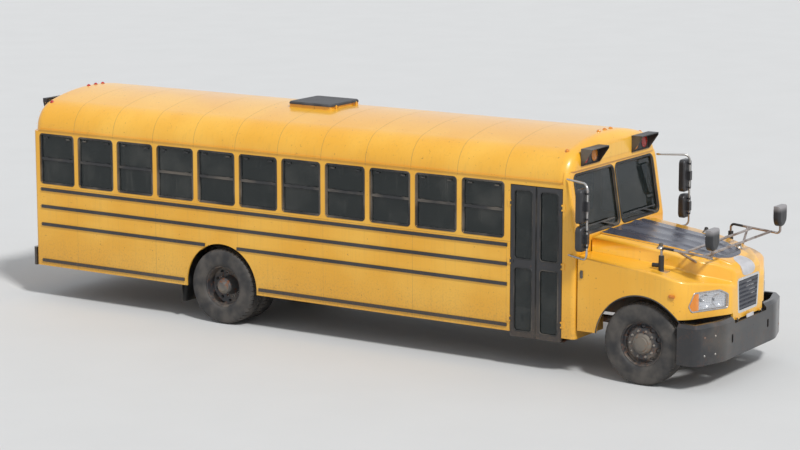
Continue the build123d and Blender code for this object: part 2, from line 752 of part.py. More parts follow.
def cap_form(y, depth, inset, away):
    """A roof end from y over depth, rounded at y; away is 1 at the nose and -1 at the tail."""
    with BuildPart() as form:
        extrude(arch_sketch(y + away * inset, inset, eave_z - 2 * inset), amount=-away * depth)
        rim = form.edges().filter_by(lambda edge: abs(edge.center().Y - y - away * inset) < 1)
        fillet(rim.filter_by(lambda edge: edge.center().Z > eave_z + 1), cap_round - inset)
    return form.part


with BuildPart() as roof_caps:
    add(cap_form(cap_front_y, roof_front_y - cap_front_y, 0, 1))
    add(cap_form(body_rear_y, body_rear_y - roof_rear_y, 0, -1))
    add(cap_form(cap_front_y, roof_front_y - cap_front_y, cap_thickness, 1), mode=Mode.SUBTRACT)
    add(cap_form(body_rear_y, body_rear_y - roof_rear_y, cap_thickness, -1), mode=Mode.SUBTRACT)
    with Locations((0, cowl_y, 0)):
        Box(2 * body_width, front_corner_depth, windshield_head_z, mode=Mode.SUBTRACT,
            align=(Align.CENTER, Align.MIN, Align.MIN))
roof_caps.part.label = "roof_caps"
export_step(roof_caps.part, "parts/roof_caps.step")

# Front wall: firewall, cowl and windshield frame with a pillar at each corner
front_wall_foot_z = skirt_z
rake_angle = degrees(atan2(windshield_rake, windshield_head_z - windshield_base_z))


def front_form(inset):
    """The front of the cab up to the windshield's head, or with an inset its hollow."""
    foot_z = front_wall_foot_z - 2 * inset
    front_y = cowl_y + inset
    rear_y = cowl_y + front_corner_depth + inset
    rise = windshield_head_z + inset - windshield_base_z
    top_y = front_y + rise * windshield_rake / (windshield_head_z - windshield_base_z)
    with BuildPart() as form:
        extrude(arch_sketch(rear_y, inset, foot_z), amount=rear_y - front_y)
        with BuildSketch(lengthwise(0)):
            with BuildLine():
                Polyline((front_y, foot_z), (front_y, windshield_base_z),
                         (top_y, windshield_base_z + rise), (rear_y, windshield_base_z + rise),
                         (rear_y, foot_z), close=True)
            make_face()
        extrude(amount=body_half, both=True, mode=Mode.INTERSECT)
        if not inset:
            posts = form.edges().filter_by(lambda edge: abs(abs(edge.center().X) - body_half) < 1
                                           and abs(edge.tangent_at(0.5).Z) > 0.9
                                           and edge.center().Y < rear_y - 5)
            fillet(posts, corner_round)
    return form.part


windshield_half = 1060.0
windshield_low_z = 1800.0
windshield_high_z = 2540.0
centre_post = 30.0
pane_round = 70.0
with BuildPart() as front_wall:
    add(front_form(0))
    add(front_form(wall_thickness), mode=Mode.SUBTRACT)
    with BuildSketch(station(cowl_y - 50)):
        for side in (-1, 1):
            with Locations((side * (windshield_half + centre_post) / 2,
                            (windshield_low_z + windshield_high_z) / 2)):
                RectangleRounded(windshield_half - centre_post,
                                 windshield_high_z - windshield_low_z, pane_round)
    extrude(amount=-300, mode=Mode.SUBTRACT)
    # Openings for the frame rails and the rear of the engine
    for half, high_z in ((rail_half + 30, rail_top_z + 10), (engine_width / 2 + 30,
                                                             engine_top_z + 40)):
        with Locations((0, cowl_y, 0)):
            Box(2 * half, 4 * wall_thickness, high_z, mode=Mode.SUBTRACT,
                align=(Align.CENTER, Align.CENTER, Align.MIN))
    add(hinge_row(door_hinge_x, door_front_y + panel_gap, door_hinge_z, (0, -1, 0), (1, 0, 0),
                  False))
front_wall.part.label = "front_wall"
export_step(front_wall.part, "parts/front_wall.step")

# Windshield: two flat panes in the raked frame, parted by the centre post
pane_y = cowl_y + 25.0
pane_plane = Plane(origin=(0, pane_y, windshield_base_z), x_dir=(1, 0, 0),
                   z_dir=(0, -cos(radians(rake_angle)), sin(radians(rake_angle))))
with BuildPart() as windshield:
    with BuildSketch(station(cowl_y - 50)):
        for side in (-1, 1):
            with Locations((side * (windshield_half + centre_post) / 2,
                            (windshield_low_z + windshield_high_z) / 2)):
                RectangleRounded(windshield_half - centre_post - 2 * seat_gap,
                                 windshield_high_z - windshield_low_z - 2 * seat_gap,
                                 pane_round)
    extrude(amount=-300)
    with BuildSketch(lengthwise(0)):
        with BuildLine():
            Polyline((pane_y, windshield_base_z), (pane_y + windshield_rake, windshield_head_z),
                     (pane_y + windshield_rake + glass_thickness, windshield_head_z),
                     (pane_y + glass_thickness, windshield_base_z), close=True)
        make_face()
    extrude(amount=body_half, both=True, mode=Mode.INTERSECT)
windshield.part.label = "windshield"
export_step(windshield.part, "parts/windshield.step")

# Rear wall with the opening of the emergency door and a window each side of it
rear_window_width = 420.0
rear_window_x = 810.0
rear_window_height = window_height - 60
rear_door_foot_z = floor_z
with BuildPart() as rear_wall:
    extrude(arch_sketch(body_rear_y - rear_corner_depth, 0, skirt_z), amount=-rear_corner_depth)
    corners = rear_wall.edges().filter_by(Axis.Z).group_by(Axis.Y)[-1]
    fillet(corners, 60)
    extrude(arch_sketch(body_rear_y - rear_corner_depth - 10, wall_thickness, skirt_z - 200),
            amount=-(rear_corner_depth - wall_thickness + 10), mode=Mode.SUBTRACT)
    with Locations((0, body_rear_y - rear_corner_depth - 50, eave_z)):
        Box(2 * body_width, rear_corner_depth + 100, 2000, mode=Mode.SUBTRACT,
            align=(Align.CENTER, Align.MIN, Align.MIN))
    with Locations((0, body_rear_y, rear_door_foot_z)):
        Box(rear_door_width, 400, rear_door_head_z - rear_door_foot_z, mode=Mode.SUBTRACT,
            align=(Align.CENTER, Align.CENTER, Align.MIN))
    with BuildSketch(station(body_rear_y - 200)):
        with Locations((-rear_window_x, window_mid_z), (rear_window_x, window_mid_z)):
            Polygon(*cut_rectangle(rear_window_width, rear_window_height, window_cut))
    extrude(amount=-400, mode=Mode.SUBTRACT)
    add(hinge_row(rear_hinge_x, rear_hinge_y, rear_hinge_z, (-1, 0, 0), (0, -1, 0), False))
rear_wall.part.label = "rear_wall"
export_step(rear_wall.part, "parts/rear_wall.step")

# Window frames: a sash in each opening, with a rail across at mid height
sash_depth = 34.0
sash_width = 22.0
sash_x = body_half - 6.0
with BuildPart() as window_frames:
    for side in (-1, 1):
        with BuildSketch(lengthwise(side * sash_x)):
            with Locations(*[(y, window_mid_z) for y in window_centres]):
                Polygon(*cut_rectangle(window_width - 2 * seat_gap, window_height - 2 * seat_gap,
                                       window_cut))
                for half in (-1, 1):
                    with Locations((0, half * window_height / 4)):
                        Rectangle(window_width - 2 * sash_width,
                                  window_height / 2 - 1.5 * sash_width, mode=Mode.SUBTRACT)
        extrude(amount=-side * sash_depth)
window_frames.part.label = "window_frames"
export_step(window_frames.part, "parts/window_frames.step")

# Window glass: the side panes, the driver's pane and the two rear panes
pane_x = sash_x - sash_depth / 2
with BuildPart() as window_glass:
    for side in (-1, 1):
        with BuildSketch(lengthwise(side * pane_x)):
            with Locations(*[(y, window_mid_z) for y in window_centres]):
                for half in (-1, 1):
                    with Locations((0, half * window_height / 4)):
                        Rectangle(window_width - 2 * sash_width,
                                  window_height / 2 - 1.5 * sash_width)
            if side > 0:
                with Locations((driver_window_y, window_mid_z)):
                    Polygon(*cut_rectangle(driver_window_width - 2 * seat_gap,
                                           window_height - 2 * seat_gap, window_cut))
        extrude(amount=-side * glass_thickness)
    with BuildSketch(station(body_rear_y - 30)):
        with Locations((-rear_window_x, window_mid_z), (rear_window_x, window_mid_z)):
            Polygon(*cut_rectangle(rear_window_width - 2 * seat_gap,
                                   rear_window_height - 2 * seat_gap, window_cut))
    extrude(amount=-glass_thickness)
window_glass.part.label = "window_glass"
export_step(window_glass.part, "parts/window_glass.step")

# Rub rails along both sides
rub_rail_depth = 14.0
rub_rails_z = [560.0, 1090.0, 1350.0, 1600.0]
rub_height = 45.0
with BuildPart() as rub_rails:
    for side in (-1, 1):
        for height in rub_rails_z:
            arch_half = wheel_arch_radius + 20
            rise = abs(height - axle_z)
            stretches = [(door_rear_y + 40 if side < 0 else wall_front_y + 20, wall_rear_y - 20)]
            if rise < arch_half:
                half_gap = (arch_half ** 2 - rise ** 2) ** 0.5 + 20
                stretches = [(stretches[0][0], rear_axle_y - half_gap),
                             (rear_axle_y + half_gap, stretches[0][1])]
            for start_y, end_y in stretches:
                with Locations((side * body_half, (start_y + end_y) / 2, height)):
                    Box(rub_rail_depth, end_y - start_y, rub_height,
                        align=(Align.MIN if side > 0 else Align.MAX, Align.CENTER, Align.CENTER))
rub_rails.part.label = "rub_rails"
export_step(rub_rails.part, "parts/rub_rails.step")

# Entrance door: two leaves that swing out from the jambs, each a framed panel with two panes
leaf_gap = panel_gap
leaf_width = (door_width - 3 * leaf_gap) / 2
leaf_height = door_head_z - door_foot_z - leaf_gap
leaf_mid_z = door_foot_z + leaf_height / 2
# Panes: height of the middle above the leaf's middle, height
leaf_panes = [(480.0, 880.0), (-490.0, 820.0)]
leaf_rim = 55.0
leaf_pane_round = 40.0
# Leaf columns: name, y of the hinged edge, direction of the free edge
leaves = [("front", door_front_y + leaf_gap, 1), ("rear", door_rear_y - leaf_gap, -1)]
for name, edge_y, away in leaves:
    leaf_y = edge_y + away * leaf_width / 2
    with BuildPart() as leaf:
        with BuildSketch(lengthwise(-body_half)):
            with Locations((leaf_y, leaf_mid_z)):
                Rectangle(leaf_width, leaf_height)
                for rise, height in leaf_panes:
                    with Locations((0, rise)):
                        RectangleRounded(leaf_width - 2 * leaf_rim, height, leaf_pane_round,
                                         mode=Mode.SUBTRACT)
        extrude(amount=door_thickness)
        add(hinge_row(door_hinge_x, edge_y, door_hinge_z, (0, away, 0), (1, 0, 0), True))
    leaf.part.label = f"door_{name}_leaf"
    export_step(leaf.part, f"parts/door_{name}_leaf.step")
    with BuildPart() as door_glass:
        with BuildSketch(lengthwise(-body_half + (door_thickness - glass_thickness) / 2)):
            with Locations((leaf_y, leaf_mid_z)):
                for rise, height in leaf_panes:
                    with Locations((0, rise)):
                        RectangleRounded(leaf_width - 2 * leaf_rim - 2 * seat_gap,
                                         height - 2 * seat_gap, leaf_pane_round)
        extrude(amount=glass_thickness)
    door_glass.part.label = f"door_{name}_glass"
    export_step(door_glass.part, f"parts/door_{name}_glass.step")

# Rear emergency door, hinged on its right side, with an upper and a lower pane
rear_leaf_width = rear_door_width - 2 * panel_gap
rear_leaf_height = rear_door_head_z - rear_door_foot_z - 2 * panel_gap
rear_leaf_z = (rear_door_head_z + rear_door_foot_z) / 2
rear_panes = [(310.0, 560.0), (-330.0, 400.0)]
rear_leaf_rim = 100.0
rear_pane_round = 50.0
rear_handle_width = 50.0
rear_handle_depth = 45.0
rear_handle_height = 260.0
with BuildPart() as emergency_door:
    with BuildSketch(station(body_rear_y)):
        with Locations((0, rear_leaf_z)):
            Rectangle(rear_leaf_width, rear_leaf_height)
            for rise, height in rear_panes:
                with Locations((0, rise)):
                    RectangleRounded(rear_leaf_width - 2 * rear_leaf_rim, height,
                                     rear_pane_round, mode=Mode.SUBTRACT)
    extrude(amount=door_thickness)
    with Locations((rear_leaf_width / 2 - 60, body_rear_y, rear_leaf_z - 60)):
        Box(rear_handle_width, rear_handle_depth, rear_handle_height,
            align=(Align.CENTER, Align.MIN, Align.CENTER))
    add(hinge_row(rear_hinge_x, rear_hinge_y, rear_hinge_z, (1, 0, 0), (0, -1, 0), True))
emergency_door.part.label = "emergency_door"
export_step(emergency_door.part, "parts/emergency_door.step")

with BuildPart() as emergency_glass:
    with BuildSketch(station(body_rear_y - 15)):
        with Locations((0, rear_leaf_z)):
            for rise, height in rear_panes:
                with Locations((0, rise)):
                    RectangleRounded(rear_leaf_width - 2 * rear_leaf_rim - 2 * seat_gap,
                                     height - 2 * seat_gap, rear_pane_round)
    extrude(amount=glass_thickness)
emergency_glass.part.label = "emergency_glass"
export_step(emergency_glass.part, "parts/emergency_glass.step")

# Roof escape hatch: a moulded lid over the curb, hinged along its front edge
lid_thickness = 35.0
lid_z = roof_top_z + hatch_curb
with BuildPart() as roof_hatch:
    with Locations((0, hatch_y, lid_z)):
        Box(hatch_size + 2 * lid_overhang, hatch_size + 2 * lid_overhang, lid_thickness,
            align=(Align.CENTER, Align.CENTER, Align.MIN))
    fillet(roof_hatch.edges().filter_by(Axis.Z), 60)
    chamfer(roof_hatch.faces().sort_by(Axis.Z)[-1].edges(), 16)
    for side in (-1, 1):
        with BuildSketch(lengthwise(side * hatch_hinge_x - hatch_barrel / 2)):
            with Locations((hatch_hinge_y, hatch_hinge_z)):
                Circle(hinge_barrel_radius)
                Rectangle(3 * hinge_barrel_radius, hinge_barrel_radius,
                          align=(Align.MIN, Align.MAX))
                Circle(hinge_bolt_radius + shaft_clearance, mode=Mode.SUBTRACT)
        extrude(amount=hatch_barrel)
roof_hatch.part.label = "roof_hatch"
export_step(roof_hatch.part, "parts/roof_hatch.step")

# Stop arm: a blank eight-sided plate folded against the left wall below the driver's window
stop_size = 457.0
stop_plate = 12.0
stop_hinge_y = cowl_y + front_corner_depth + 120
stop_z = 1475.0
stop_standoff = 30.0
stop_x = body_half + stop_standoff
stop_barrel_radius = 12.0
stop_barrel_height = 130.0
stop_pin_radius = 6.0
with BuildPart() as stop_arm:
    with BuildSketch(lengthwise(stop_x)):
        with Locations((stop_hinge_y + 60 + stop_size / 2, stop_z)):
            RegularPolygon(stop_size / 2, 8, major_radius=False, rotation=22.5)
        with Locations((stop_hinge_y + 40, stop_z)):
            Rectangle(90, 120)
    extrude(amount=stop_plate)
    with Locations((stop_x + stop_plate / 2, stop_hinge_y, stop_z)):
        Cylinder(stop_barrel_radius, stop_barrel_height)
        Cylinder(stop_pin_radius, 2 * stop_barrel_height, mode=Mode.SUBTRACT)
stop_arm.part.label = "stop_arm"
export_step(stop_arm.part, "parts/stop_arm.step")

# Bracket: an ear above and below the barrel, on a plate ahead of it
stop_ear_rise = 82.0
stop_ear_width = 40.0
stop_ear_height = 24.0
stop_base_depth = 20.0
stop_base_width = 60.0
with BuildPart() as stop_bracket:
    for end in (-1, 1):
        with Locations((body_half, stop_hinge_y, stop_z + end * stop_ear_rise)):
            Box(stop_standoff + stop_plate / 2 + stop_barrel_radius, stop_ear_width,
                stop_ear_height, align=(Align.MIN, Align.CENTER, Align.CENTER))
    with Locations((body_half, stop_hinge_y - stop_ear_width, stop_z)):
        Box(stop_base_depth, stop_base_width, 2 * stop_ear_rise + stop_ear_height,
            align=(Align.MIN, Align.CENTER, Align.CENTER))
    with Locations((stop_x + stop_plate / 2, stop_hinge_y, stop_z)):
        Cylinder(stop_pin_radius - shaft_clearance, 2 * stop_ear_rise - 4)
stop_bracket.part.label = "stop_bracket"
export_step(stop_bracket.part, "parts/stop_bracket.step")

# Warning lamps: four round lamps on each roof cap under long black visors
lamp_radius = 89.0
warning_x = [560.0, 800.0]
warning_z = 2750.0
visor_width = 470.0
visor_height = 220.0
visor_lift = 6.0
visor_wall = 12.0
lamp_block_depth = 30.0
rear_visor_depth = rear_bumper_depth - 4
front_visor_depth = 150.0
with BuildPart() as warning_lamps:
    for face_y, away in ((cap_front_y, 1), (body_rear_y, -1)):
        with BuildSketch(station(face_y)):
            with Locations(*[(side * x, warning_z) for side in (-1, 1) for x in warning_x]):
                Circle(lamp_radius)
        extrude(amount=away * lamp_block_depth)
warning_lamps.part.label = "warning_lamps"
export_step(warning_lamps.part, "parts/warning_lamps.step")

with BuildPart() as lamp_visors:
    for face_y, away, depth in ((cap_front_y, 1, front_visor_depth),
                                (body_rear_y, -1, rear_visor_depth)):
        with BuildSketch(station(face_y)):
            for side in (-1, 1):
                with Locations((side * sum(warning_x) / 2, warning_z + visor_lift)):
                    Rectangle(visor_width, visor_height)
                    Rectangle(visor_width - 2 * visor_wall, visor_height - 2 * visor_wall,
                              mode=Mode.SUBTRACT)
        extrude(amount=away * depth)
        # The cheeks taper from the face to the tip, and the foot is open
        with BuildSketch(lengthwise(-body_half)):
            with BuildLine():
                Polyline((face_y + away * 20, warning_z - visor_height),
                         (face_y - away * 18, warning_z - visor_height / 2 + visor_lift),
                         (face_y - away * (depth + 9), warning_z + visor_height / 2 - 14),
                         (face_y - away * (depth + 9), warning_z - visor_height), close=True)
            make_face()
        extrude(amount=body_width, mode=Mode.SUBTRACT)
lamp_visors.part.label = "lamp_visors"
export_step(lamp_visors.part, "parts/lamp_visors.step")

# Tail lamps: brake, turn and reversing lamps on the rear wall
tail_lamps_x = [1000.0, 780.0]
tail_lamp_depth = 28.0
# Rows: height, lamp radius
tail_rows = [(1480.0, lamp_radius), (1230.0, 50.0)]
with BuildPart() as tail_lamps:
    with BuildSketch(station(body_rear_y)):
        for side in (-1, 1):
            for height, radius in tail_rows:
                with Locations(*[(side * x, height) for x in tail_lamps_x]):
                    Circle(radius)
    extrude(amount=-tail_lamp_depth)
tail_lamps.part.label = "tail_lamps"
export_step(tail_lamps.part, "parts/tail_lamps.step")

# Passenger seats: high-backed benches in rows each side of the aisle
seat_width = 960.0
seat_pitch = 700.0
seat_rows = 11
seat_front_y = cowl_y + front_section + 620
cushion_depth = 420.0
back_height = 1120.0
seat_wall_gap = 5.0
leg_inset = 60.0
leg_height = 345.0
leg_rows_y = [-60.0, -330.0]
# Outlines seen from the side: y behind the hip line, height above the floor
cushion_outline = [(0, 300), (0, 430), (-cushion_depth + 60, 440), (-cushion_depth, 400),
                   (-cushion_depth, 330), (-80, 290)]
back_outline = [(-30, 300), (60, 300), (130, back_height - 40), (110, back_height),
                (60, back_height), (40, back_height - 40)]
with BuildPart() as passenger_seats:
    for outline in (cushion_outline, back_outline):
        with BuildSketch(lengthwise(0)):
            with BuildLine():
                Polyline(*outline, close=True)
            make_face()
    extrude(amount=seat_width)
    with BuildSketch(Plane.XY):
        with Locations(*[(x, y) for x in (leg_inset, seat_width - leg_inset) for y in leg_rows_y]):
            Rectangle(30, 40)
    extrude(amount=leg_height)
one_seat = passenger_seats.part
with BuildPart() as seats:
    for row in range(seat_rows):
        for side in (-1, 1):
            seat_x = side * (body_half - wall_thickness - seat_wall_gap)
            start_x = seat_x if side < 0 else seat_x - seat_width
            row_y = seat_front_y + row * seat_pitch
            add(Pos(start_x, row_y, floor_z) * one_seat)
    for side in (-1, 1):
        with Locations((side * (body_half - wall_thickness), rear_axle_y, 0)):
            Box(2 * (wheel_house_depth - wall_thickness + seat_wall_gap),
                2 * (wheel_house_half + seat_wall_gap),
                wheel_house_top_z, mode=Mode.SUBTRACT,
                align=(Align.CENTER, Align.CENTER, Align.MIN))
seats.part.label = "passenger_seats"
export_step(seats.part, "parts/passenger_seats.step")

# Driver's seat, dashboard and steering column
driver_x = 640.0
driver_y = cowl_y + 950
driver_seat_width = 500.0
driver_base_size = 320.0
driver_base_height = 310.0
# Outlines seen from the side: y behind the hip line, height above the floor
driver_cushion = [(0, 280), (0, 400), (-460, 410), (-480, 300)]
driver_back = [(-20, 280), (80, 280), (190, 1080), (90, 1100)]
with BuildPart() as driver_seat:
    with BuildSketch(lengthwise(driver_x - driver_seat_width / 2)):
        for outline in (driver_cushion, driver_back):
            with BuildLine():
                Polyline(*[(driver_y + y, floor_z + rise) for y, rise in outline], close=True)
            make_face()
    extrude(amount=driver_seat_width)
    with Locations((driver_x, driver_y - 200, floor_z)):
        Box(driver_base_size, driver_base_size, driver_base_height,
            align=(Align.CENTER, Align.CENTER, Align.MIN))
driver_seat.part.label = "driver_seat"
export_step(driver_seat.part, "parts/driver_seat.step")

wheel_tilt = 35.0
steering_wheel_radius = 225.0
steering_y = cowl_y + 400
steering_z = 1700.0
column_radius = 28.0
column_length = 300.0
grip_radius = 14.0
hub_radius = 42.0
hub_depth = 30.0
spoke_width = 34.0
spoke_thickness = 12.0
# Dashboard outline seen from the side: y behind the cowl, height
dash_outline = [(wall_thickness, floor_z), (190.0, floor_z), (250.0, 1500.0), (240.0, 1600.0),
                (wall_thickness + 4, 1700.0), (wall_thickness, 1700.0)]
with BuildPart() as dashboard:
    with BuildSketch(lengthwise(-body_half + wall_thickness + well_depth)):
        with BuildLine():
            Polyline(*[(cowl_y + y, height) for y, height in dash_outline], close=True)
        make_face()
    extrude(amount=2 * body_half - 2 * wall_thickness - well_depth)
    column_top = Vector(driver_x, steering_y, steering_z)
    column_plane = Plane(origin=column_top, x_dir=(1, 0, 0),
                         z_dir=(0, sin(radians(wheel_tilt)), cos(radians(wheel_tilt))))
    with BuildSketch(column_plane.offset(-hub_depth)):
        Circle(column_radius)
    extrude(amount=-column_length)
dashboard.part.label = "dashboard"
export_step(dashboard.part, "parts/dashboard.step")

with BuildPart() as steering_wheel:
    with BuildSketch(Plane(origin=column_plane.origin, x_dir=column_plane.z_dir,
                           z_dir=(1, 0, 0))):
        with Locations((0, steering_wheel_radius)):
            Circle(grip_radius)
    revolve(axis=Axis(column_plane.origin, column_plane.z_dir))
    with BuildSketch(column_plane.offset(seat_gap - hub_depth)):
        Circle(hub_radius)
    extrude(amount=hub_depth + 2)
    with BuildSketch(column_plane.offset(4 - spoke_thickness)):
        for angle in (90, 210, 330):
            with Locations(Rot(0, 0, angle) * Pos(steering_wheel_radius / 2, 0)):
                Rectangle(steering_wheel_radius, spoke_width)
    extrude(amount=spoke_thickness)
steering_wheel.part.label = "steering_wheel"
export_step(steering_wheel.part, "parts/steering_wheel.step")

# Rear-view mirrors: a tube loop out from each front corner, carrying two housings
arm_x = body_half + 190
arm_y = cowl_y - 260
arm_top_z = 2520.0
arm_low_z = 1560.0
arm_radius = 14.0
arm_bend = 80.0
arm_top_foot_y = cowl_y + 155
arm_low_foot_y = cowl_y + 120
with BuildPart() as mirror_arms:
    for side in (-1, 1):
        foot_x = side * (body_half - 20)
        add(tube([(foot_x, arm_top_foot_y, arm_top_z), (side * arm_x, arm_y, arm_top_z),
                  (side * arm_x, arm_y, arm_low_z), (foot_x, arm_low_foot_y, arm_low_z)],
                 arm_radius, arm_bend))
    Box(body_width, overall_length, 4 * roof_top_z, mode=Mode.SUBTRACT)
mirror_arms.part.label = "mirror_arms"
export_step(mirror_arms.part, "parts/mirror_arms.step")

mirror_width = 230.0
mirror_depth = 80.0
mirror_round = 26.0
mirror_setback = 22.0
# Housings: height of the middle, height, corner radius
housings = [(2240.0, 430.0, 50.0), (1830.0, 320.0, 70.0)]
with BuildPart() as mirror_heads:
    with BuildSketch(station(arm_y + mirror_setback)):
        for side in (-1, 1):
            for middle_z, height, corner in housings:
                with Locations((side * arm_x, middle_z)):
                    RectangleRounded(mirror_width, height, corner)
    extrude(amount=-mirror_depth)
    fillet(mirror_heads.faces().sort_by(Axis.Y)[:4].edges(), mirror_round)
    with BuildSketch(station(arm_y - mirror_setback)):
        for side in (-1, 1):
            for middle_z, _, _ in housings:
                with Locations((side * arm_x, middle_z)):
                    Rectangle(60, 120)
    extrude(amount=-2 * mirror_setback)
    for side in (-1, 1):
        with Locations((side * arm_x, arm_y, (arm_top_z + arm_low_z) / 2)):
            Cylinder(arm_radius + seat_gap, arm_top_z - arm_low_z, mode=Mode.SUBTRACT)
mirror_heads.part.label = "mirror_heads"
export_step(mirror_heads.part, "parts/mirror_heads.step")

# Front axle: a dropped beam with an eye for the kingpin at each end
beam_depth = 90.0
eye_radius = 45.0
eye_height = 100.0
kingpin_radius = 20.0
beam_drop_z = 430.0
spring_x = rail_half - rail_flange / 2
spring_width = 75.0
with BuildPart() as front_axle:
    with BuildSketch(station(front_axle_y - beam_depth / 2)):
        with BuildLine():
            Polyline((0, beam_drop_z - 50), (560, beam_drop_z - 50), (720, axle_z - 40),
                     (kingpin_half - 30, axle_z - 40), (kingpin_half - 30, axle_z + 40),
                     (700, axle_z + 40), (540, beam_drop_z + 50), (0, beam_drop_z + 50),
                     close=True)
        make_face()
        mirror(about=Plane.YZ)
    extrude(amount=-beam_depth)
    with Locations(*[(side * kingpin_half, front_axle_y, axle_z) for side in (-1, 1)]):
        Cylinder(eye_radius, eye_height)
        Cylinder(kingpin_radius, 2 * eye_height, mode=Mode.SUBTRACT)
front_axle.part.label = "front_axle"
export_step(front_axle.part, "parts/front_axle.step")

# Leaf springs on both axles, hung from brackets below the rails
rail_foot_z = rail_top_z - rail_height
spring_thickness = 45.0
rear_housing_radius = 75.0
# Axle y, seat height of the spring, half length
springs = [(front_axle_y, beam_drop_z + 50, 640), (rear_axle_y, axle_z + rear_housing_radius, 700)]
with BuildPart() as leaf_springs:
    for side in (-1, 1):
        for axle_y, seat_z, half_length in springs:
            end_z = rail_foot_z - 60
            mid_z = min(seat_z + 30, end_z)
            with BuildSketch(lengthwise(side * spring_x - spring_width / 2)):
                with BuildLine():
                    top = ThreePointArc((axle_y - half_length, end_z), (axle_y, mid_z - 5),
                                        (axle_y + half_length, end_z))
                    Line(top @ 1, (axle_y + half_length, end_z + 20))
                    low = ThreePointArc((axle_y + half_length, end_z + 20),
                                        (axle_y, mid_z + spring_thickness),
                                        (axle_y - half_length, end_z + 20))
                    Line(low @ 1, top @ 0)
                make_face()
                with Locations((axle_y - half_length + 30, end_z),
                               (axle_y + half_length - 30, end_z)):
                    Rectangle(60, rail_foot_z - end_z, align=(Align.CENTER, Align.MIN))
                with Locations((axle_y, seat_z)):
                    Rectangle(120, mid_z + 10 - seat_z, align=(Align.CENTER, Align.MIN))
            extrude(amount=spring_width)
leaf_springs.part.label = "leaf_springs"
export_step(leaf_springs.part, "parts/leaf_springs.step")

# Knuckles: a fork round each beam end, the kingpin, the spindle and the steering arm
spindle_radius = 45.0
fork_height = 34.0
fork_gap = 4.0
arm_reach_x = 0.0
arm_reach_y = 190.0
arm_z = axle_z - eye_height / 2 - fork_gap - fork_height
tie_pin_radius = 12.0
arm_boss_half = 26.0
arm_thickness = 24.0
spindle_length = 230.0
front_hub_x = front_track / 2
knuckle_plate = 14.0
knuckle_plate_x = kingpin_half + eye_radius + 6
for side, name in ((-1, "knuckle_right"), (1, "knuckle_left")):
    with BuildPart() as knuckle:
        for level in (-1, 1):
            with BuildSketch(Plane.XY.offset(axle_z + level * (eye_height / 2 + fork_gap))):
                with Locations((side * kingpin_half, front_axle_y)):
                    Circle(eye_radius)
                    Rectangle(knuckle_plate_x - kingpin_half + knuckle_plate, 2 * eye_radius,
                              align=(Align.MIN if side > 0 else Align.MAX, Align.CENTER))
            extrude(amount=level * fork_height)
        with Locations((side * knuckle_plate_x, front_axle_y, axle_z)):
            Box(knuckle_plate, 110, eye_height + 2 * fork_gap + 2 * fork_height,
                align=(Align.MIN if side > 0 else Align.MAX, Align.CENTER, Align.CENTER))
        with Locations((side * kingpin_half, front_axle_y, axle_z)):
            Cylinder(kingpin_radius - shaft_clearance, eye_height + 2 * fork_gap + 2)
        with Locations((side * knuckle_plate_x, front_axle_y, axle_z)):
            Cylinder(spindle_radius, spindle_length, rotation=(0, 90, 0),
                     align=(Align.CENTER, Align.CENTER, Align.MIN if side > 0 else Align.MAX))
        with BuildSketch(Plane.XY.offset(arm_z)):
            with BuildLine():
                pin_x = kingpin_half - arm_reach_x
                pin_y = front_axle_y + arm_reach_y
                Polyline((side * (kingpin_half + 40), front_axle_y + 20),
                         (side * (pin_x + arm_boss_half), pin_y + arm_boss_half),
                         (side * (pin_x - arm_boss_half), pin_y + arm_boss_half),
                         (side * (pin_x - arm_boss_half), pin_y - arm_boss_half),
                         (side * (kingpin_half - 30), front_axle_y + 20), close=True)
            make_face()
            with Locations((side * pin_x, pin_y)):
                Circle(tie_pin_radius + 1, mode=Mode.SUBTRACT)
        extrude(amount=arm_thickness)
    knuckle.part.label = name
    export_step(knuckle.part, f"parts/{name}.step")

# Tie rod below the steering arms
tie_rod_radius = 20.0
tie_rod_z = arm_z - 3 - tie_rod_radius
with BuildPart() as tie_rod:
    with Locations((0, front_axle_y + arm_reach_y, tie_rod_z)):
        Cylinder(tie_rod_radius, 2 * (kingpin_half - arm_reach_x) + 50, rotation=(0, 90, 0))
    for side in (-1, 1):
        with Locations((side * (kingpin_half - arm_reach_x), front_axle_y + arm_reach_y,
                        tie_rod_z)):
            Cylinder(tie_pin_radius, arm_z + arm_thickness - tie_rod_z,
                     align=(Align.CENTER, Align.CENTER, Align.MIN))
tie_rod.part.label = "tie_rod"
export_step(tie_rod.part, "parts/tie_rod.step")

# Rear axle: housing, differential and the shaft from the engine
shaft_start = Vector(0, engine_front_y + engine_length + 2, 690)
shaft_end = Vector(0, rear_axle_y - 200, axle_z + 10)
rear_spindle_end = rear_track / 2 + twin_spacing / 2 + 120
rear_housing_end = rear_track / 2 - twin_spacing / 2 - 175
shaft_radius = 48.0
with BuildPart() as rear_axle:
    with Locations((0, rear_axle_y, axle_z)):
        Cylinder(rear_housing_radius, 2 * rear_housing_end, rotation=(0, 90, 0))
        Cylinder(spindle_radius, 2 * rear_spindle_end, rotation=(0, 90, 0))
        Cylinder(190, 170, rotation=(90, 0, 0))
    with BuildSketch(Plane(origin=(0, rear_axle_y, axle_z), z_dir=(0, -1, 0))):
        Circle(120)
    extrude(amount=220, taper=10)
    add(tube([shaft_start, shaft_end], shaft_radius))
rear_axle.part.label = "rear_axle"
export_step(rear_axle.part, "parts/rear_axle.step")

